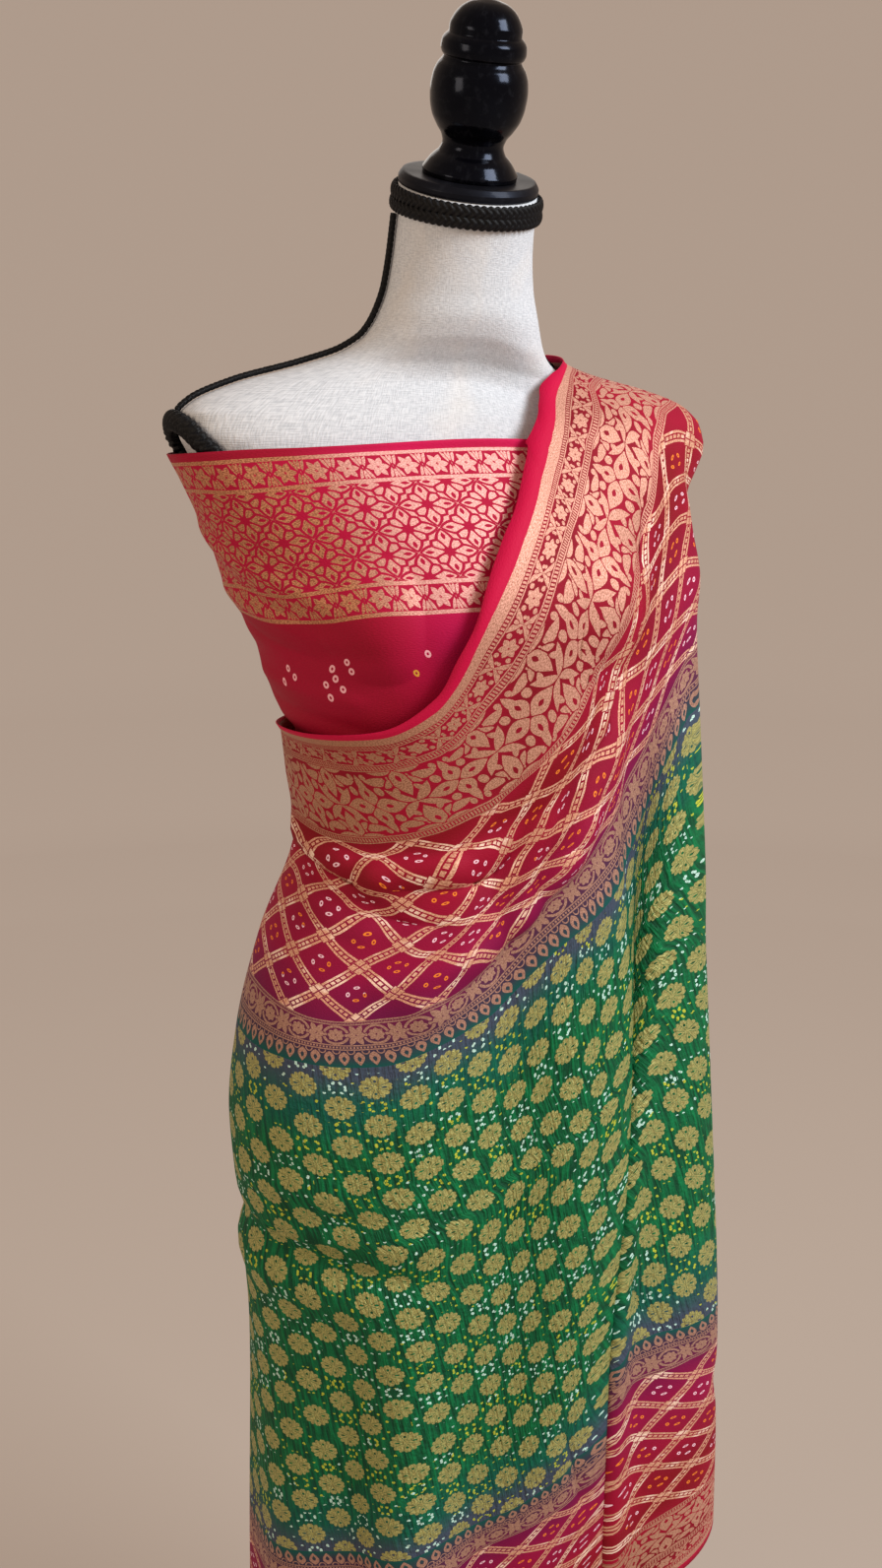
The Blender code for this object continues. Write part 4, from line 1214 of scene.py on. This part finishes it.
def lattice_line(across_line, along_line):
    """Two gold stripes, about 2.2 to 3.8 mm from the line, and small squares between them."""
    out = abs(across_line.every(2)) * LATTICE_STEP
    squares = along_line.every(0.25).near(0.0, 0.088) * out.near(0.0, 1.15)
    return out, larger(out.near(RAIL_OUT, RAIL_HALF), squares)


def ring_dot(x, y, radius, share):
    """A tied dot: a ring of light silk round a dark centre, drawn where its share is above zero."""
    return distance(x, y).near(radius, 0.55) * share


def lattice_finish():
    finish, along, across = cloth_finish("lattice")
    edge = edge_distance(across)
    from_border = edge - LATTICE_START
    p = along * (1 / LATTICE_LONG) + from_border * (1 / LATTICE_TALL)
    q = along * (1 / LATTICE_LONG) - from_border * (1 / LATTICE_TALL)
    p_out, p_line = lattice_line(p, q)
    q_out, q_line = lattice_line(q, p)
    knot_reach, cross = larger(p_out, q_out), smaller(p_out, q_out)
    knot = knot_reach.near(0.0, KNOT_HALF)
    gold = larger(p_line, q_line) * (1 - knot_reach.near(0.0, KNOT_CLEAR))
    gold = larger(gold, knot * cross.above(0.5))
    p_cell, q_cell = (p - 1).counted(2), (q - 1).counted(2)
    p_in, q_in = (p + 1).every(2), (q + 1).every(2)
    shift = (lot(p_in.above(0.0) + p_cell * 2, q_in.above(0.0) + q_cell * 2) - 0.5) * 0.1
    p_dot, q_dot = abs(p_in) - CELL_DOT + shift, abs(q_in) - CELL_DOT - shift
    dot_x, dot_y = (p_dot + q_dot) * (LATTICE_LONG / 2), (p_dot - q_dot) * (LATTICE_TALL / 2)
    inside = from_border.near(85.0, 72.0)
    dots = ring_dot(dot_x, dot_y, CELL_DOT_RADIUS, inside)
    patch = clouds(along, across, 110.0, 50.0)
    ground = over(patch.ramp(0.35, 0.65), dye(152, 0, 42), dye(130, 0, 22))
    ground = over((from_border + patch * 60).ramp(80.0, 175.0), ground, dye(146, 0, 62))
    ground = over((from_border + patch * 30).ramp(150.0, 190.0) * 0.8, ground, dye(98, 4, 66))
    warm = (lot(p_cell, q_cell) + patch).above(1.05)
    ground = over(dots, ground, over(warm, dye(240, 200, 215), dye(236, 130, 40)))
    weave = clouds(along, across, 2.0, 0.8)
    # Painted glints: the gold lines are paler in patches.
    glint = clouds(along, across, 38.0, 13.0).ramp(0.52, 0.66)
    light = over(glint, dye(236, 182, 152), dye(255, 232, 214))
    dark = over(glint, dye(184, 122, 98), dye(236, 196, 172))
    brocade(finish, along, across, ground, gold, light, dark, weave, 0.0003)
    return finish


# %% [markdown]
# The narrow border's ground was dyed where red and green bleed together, so it is a dark purple. Long
# petalled rosettes stand between ovals, and a row of drops hangs towards the field.

# %% Chart the narrow border
NARROW_START, ROSETTES, DROPS_FROM = 285.0, (13.5, 9.3), 29.0


def rosette_band(along, from_middle):
    """Six long petals twice in each repeat, and an oval of small petals halfway."""
    x = along.every(BORDER_REPEAT / 2)
    wedge_x, wedge_y = folded_round(x, from_middle, 6)
    long_petal = leaf(wedge_x - 0.8, wedge_y, 9.6, 4.6)
    aside = BORDER_REPEAT / 4 - abs(x)
    oval_x, oval_y = folded_round(aside * 0.8, from_middle, 8)
    small = leaf(oval_x - 0.8, oval_y, 5.2, 3.2)
    rim = 0.7 - abs(distance(aside * 0.8, from_middle) - 8.4)
    return crowded([long_petal, small, rim], 0.35, 0.5)


def drop_row(along, out):
    """Six drops to a repeat, round at the border and pointed at the field, each with a dark eye."""
    x = along.every(BORDER_REPEAT / 6)
    drop = petal(14.0 - out, x, 13.4, 8.4)
    eye = petal(10.5 - out, x, 5.4, 3.2)
    arcs = abs(distance(BORDER_REPEAT / 12 - abs(x), out) - 2.8).near(0.0, 0.5)
    return larger(drop.above(0.0) * (1 - eye.above(0.0)), arcs)


def narrow_border_finish():
    finish, along, across = cloth_finish("narrow border")
    out = edge_distance(across) - NARROW_START
    ropes = larger(ladder(along, out, 2.0, 1.9, 2.6), ladder(along, out, 25.6, 2.6, 2.8))
    rosettes = rosette_band(along, out - ROSETTES[0]) * out.near(*ROSETTES)
    drops = drop_row(along, out - DROPS_FROM) * out.above(28.6)
    gold = larger(ropes, rosettes, drops)
    patch = clouds(along, across, 60.0, 20.0)
    ground = over((out + patch * 16).ramp(14.0, 40.0), dye(104, 24, 66), dye(54, 44, 66))
    ground = over((out + patch * 12).ramp(38.0, 50.0), ground, dye(8, 78, 74))
    weave = clouds(along, across, 2.0, 0.8)
    brocade(finish, along, across, ground, gold, dye(186, 142, 124), dye(140, 102, 88), weave, 0.0003)
    return finish


# %% [markdown]
# The field is crepe: its hard-twisted threads pucker the cloth in fine crinkles, which run down the
# cloth where it hangs. Scalloped medallions stand on a staggered grid, with clusters of tied dots
# between them. The plane is folded again, so that one quarter of a medallion makes them all.

# %% Chart the field
MEDALLION_LONG, MEDALLION_TALL, MEDALLION_START = 28.0, 17.79, 6.0
FIELD_MIDDLE, FIELD_DOT_RADIUS, STRAY = 580.0, 0.75, 2.2
# Where the tied dots stand beside a medallion, and the patches of cloth that draw one lot each
FIELD_DOTS = ((17.0, 4.8), (22.6, 1.4), (3.0, 14.2))
LOT_LONG, LOT_TALL, UNTIED = 14.0, 8.9, 0.34


def medallion(x, y):
    """An oval with scalloped rim, cut into eight petals by thin lines, with seeds and slits."""
    radius = distance(x * (1 / 11.8), y * (1 / 10.4))
    angle = x.work("ARCTAN2", y, x)
    scallop = abs(x.work("SINE", angle * 7.0 + 0.6)) * 0.17
    body = (0.86 + scallop - radius).above(0.0)
    line_angle = abs((angle + np.pi / 8).every(np.pi / 4))
    lines = (line_angle * radius * 12.0).near(0.0, 0.38) * radius.above(0.16) * 0.6
    seed = disc(x, y - 5.8, 1.15)
    slit = leaf(x - 4.0, y, 4.8, 1.6)
    return body * (1 - larger(lines, seed.above(0.0), slit.above(0.0)))


def field_finish():
    finish, along, across = cloth_finish("green field")
    x = abs((along + MEDALLION_START).every(2 * MEDALLION_LONG))
    y = abs((across - FIELD_MIDDLE).every(2 * MEDALLION_TALL))
    past = (x * (1 / MEDALLION_LONG) + y * (1 / MEDALLION_TALL)).above(1.0)
    x, y = abs(x - past * MEDALLION_LONG), abs(y - past * MEDALLION_TALL)
    gold = medallion(x, y)
    column = (along + MEDALLION_START).counted(LOT_LONG)
    row = (across - FIELD_MIDDLE).counted(LOT_TALL)
    first, second = lot(column, row), lot(row, column)
    strays = ((first - 0.5) * STRAY, (second - 0.5) * STRAY)
    mixed = first * 7 + second
    tied = mixed.work("FRACT", mixed).above(UNTIED)
    dots = larger(*[ring_dot(x - dot_x + strays[number % 2], y - dot_y + strays[1 - number % 2],
                             FIELD_DOT_RADIUS, tied)
                    for number, (dot_x, dot_y) in enumerate(FIELD_DOTS)]) * (1 - gold)
    patch = clouds(along, across, 90.0, 70.0)
    crinkle = clouds(along, across, 3.0, 30.0, 3.0)
    pucker = clouds(along, across, 5.0, 5.0, 2.0)
    edge = edge_distance(across)
    # Painted shade: the ground is darker in the crinkles' hollows and paler on their ridges, on the crinkle
    # noise that also shapes the relief.
    ground = over(crinkle.ramp(0.35, 0.7), dye(0, 66, 40), dye(0, 116, 66))
    ground = over((patch * 50 - edge).ramp(-380.0, -335.0) * 0.55, ground, dye(10, 84, 84))
    ground = over((patch * 20 - edge).ramp(-352.0, -330.0) * 0.85, ground, dye(66, 70, 94))
    yellow = (patch + first * 0.12).above(0.56)
    ground = over(dots, ground, over(yellow, dye(190, 228, 216), dye(184, 192, 60)))
    relief = crinkle + pucker * 0.6
    brocade(finish, along, across, ground, gold, dye(184, 178, 112), dye(134, 134, 78), relief, 0.0026)
    return finish


make_sari([border_finish(), lattice_finish(), narrow_border_finish(), field_finish()])

# %% [markdown]
# ## The studio
#
# The floor is the bottom of a wide, plain bowl that curves up all round, so that every view has the
# same pale backdrop with no corner in it. A broad soft light comes from above the viewer's right, as
# from a window, with a small warm one from the left and a faint one from behind. The air gives the
# rest, and the backdrop's paper glows a little, so that it stays as pale as in the photograph.

# %% Light the studio
# height and radius
BOWL = ((0.0, 0.01), (0.0, 3.2), (0.10, 3.7), (0.45, 4.2), (1.1, 4.55), (2.2, 4.7), (5.0, 4.7))
PAPER_GLOW = 0.585


def make_studio():
    share = np.linspace(0, 1, 8)
    rows = np.concatenate([np.outer(1 - share, low) + np.outer(share, high)
                           for low, high in zip(BOWL, BOWL[1:])])
    floor = turned("studio_floor", rows[np.r_[True, np.any(np.diff(rows, axis=0) != 0, axis=1)]], 96)
    floor.data.transform(Matrix.Translation((0, 0, -0.0005)))
    paper = bpy.data.materials.new("backdrop paper")
    paper.use_nodes = True
    shader = paper.node_tree.nodes["Principled BSDF"]
    shader.inputs["Base Color"].default_value = dye(132, 124, 116)
    shader.inputs["Emission Color"].default_value = dye(184, 165, 151)
    shader.inputs["Emission Strength"].default_value = PAPER_GLOW
    shader.inputs["Roughness"].default_value = 0.95
    shader.inputs["Specular IOR Level"].default_value = 0.1
    floor.data.materials.append(paper)


def soft_light(name, place, aim, size, watts, colour):
    lamp = bpy.data.lights.new(name, "AREA")
    lamp.shape = "RECTANGLE"
    lamp.size, lamp.size_y = size
    lamp.energy = watts
    lamp.color = colour
    light = bpy.data.objects.new(name, lamp)
    light.location = place
    light.rotation_euler = (Vector(aim) - Vector(place)).to_track_quat("-Z", "Y").to_euler()
    bpy.context.collection.objects.link(light)


make_studio()
soft_light("window", (1.7, -2.2, 2.9), (0.0, 0.0, 1.1), (1.2, 1.5), 118.0, (0.95, 0.98, 1.0))
soft_light("lamp", (-2.4, -1.0, 1.9), (0.0, 0.0, 1.2), (0.8, 1.2), 20.0, (1.0, 0.80, 0.60))
soft_light("behind", (0.6, 2.6, 2.8), (0.0, 0.0, 1.1), (2.0, 1.4), 9.0, (1.0, 0.97, 0.93))
world = bpy.data.worlds.new("studio air")
world.use_nodes = True
world.node_tree.nodes["Background"].inputs["Color"].default_value = (0.97, 0.98, 1.0, 1.0)
world.node_tree.nodes["Background"].inputs["Strength"].default_value = 0.26
bpy.context.scene.world = world
bpy.context.scene.view_settings.view_transform = "Standard"
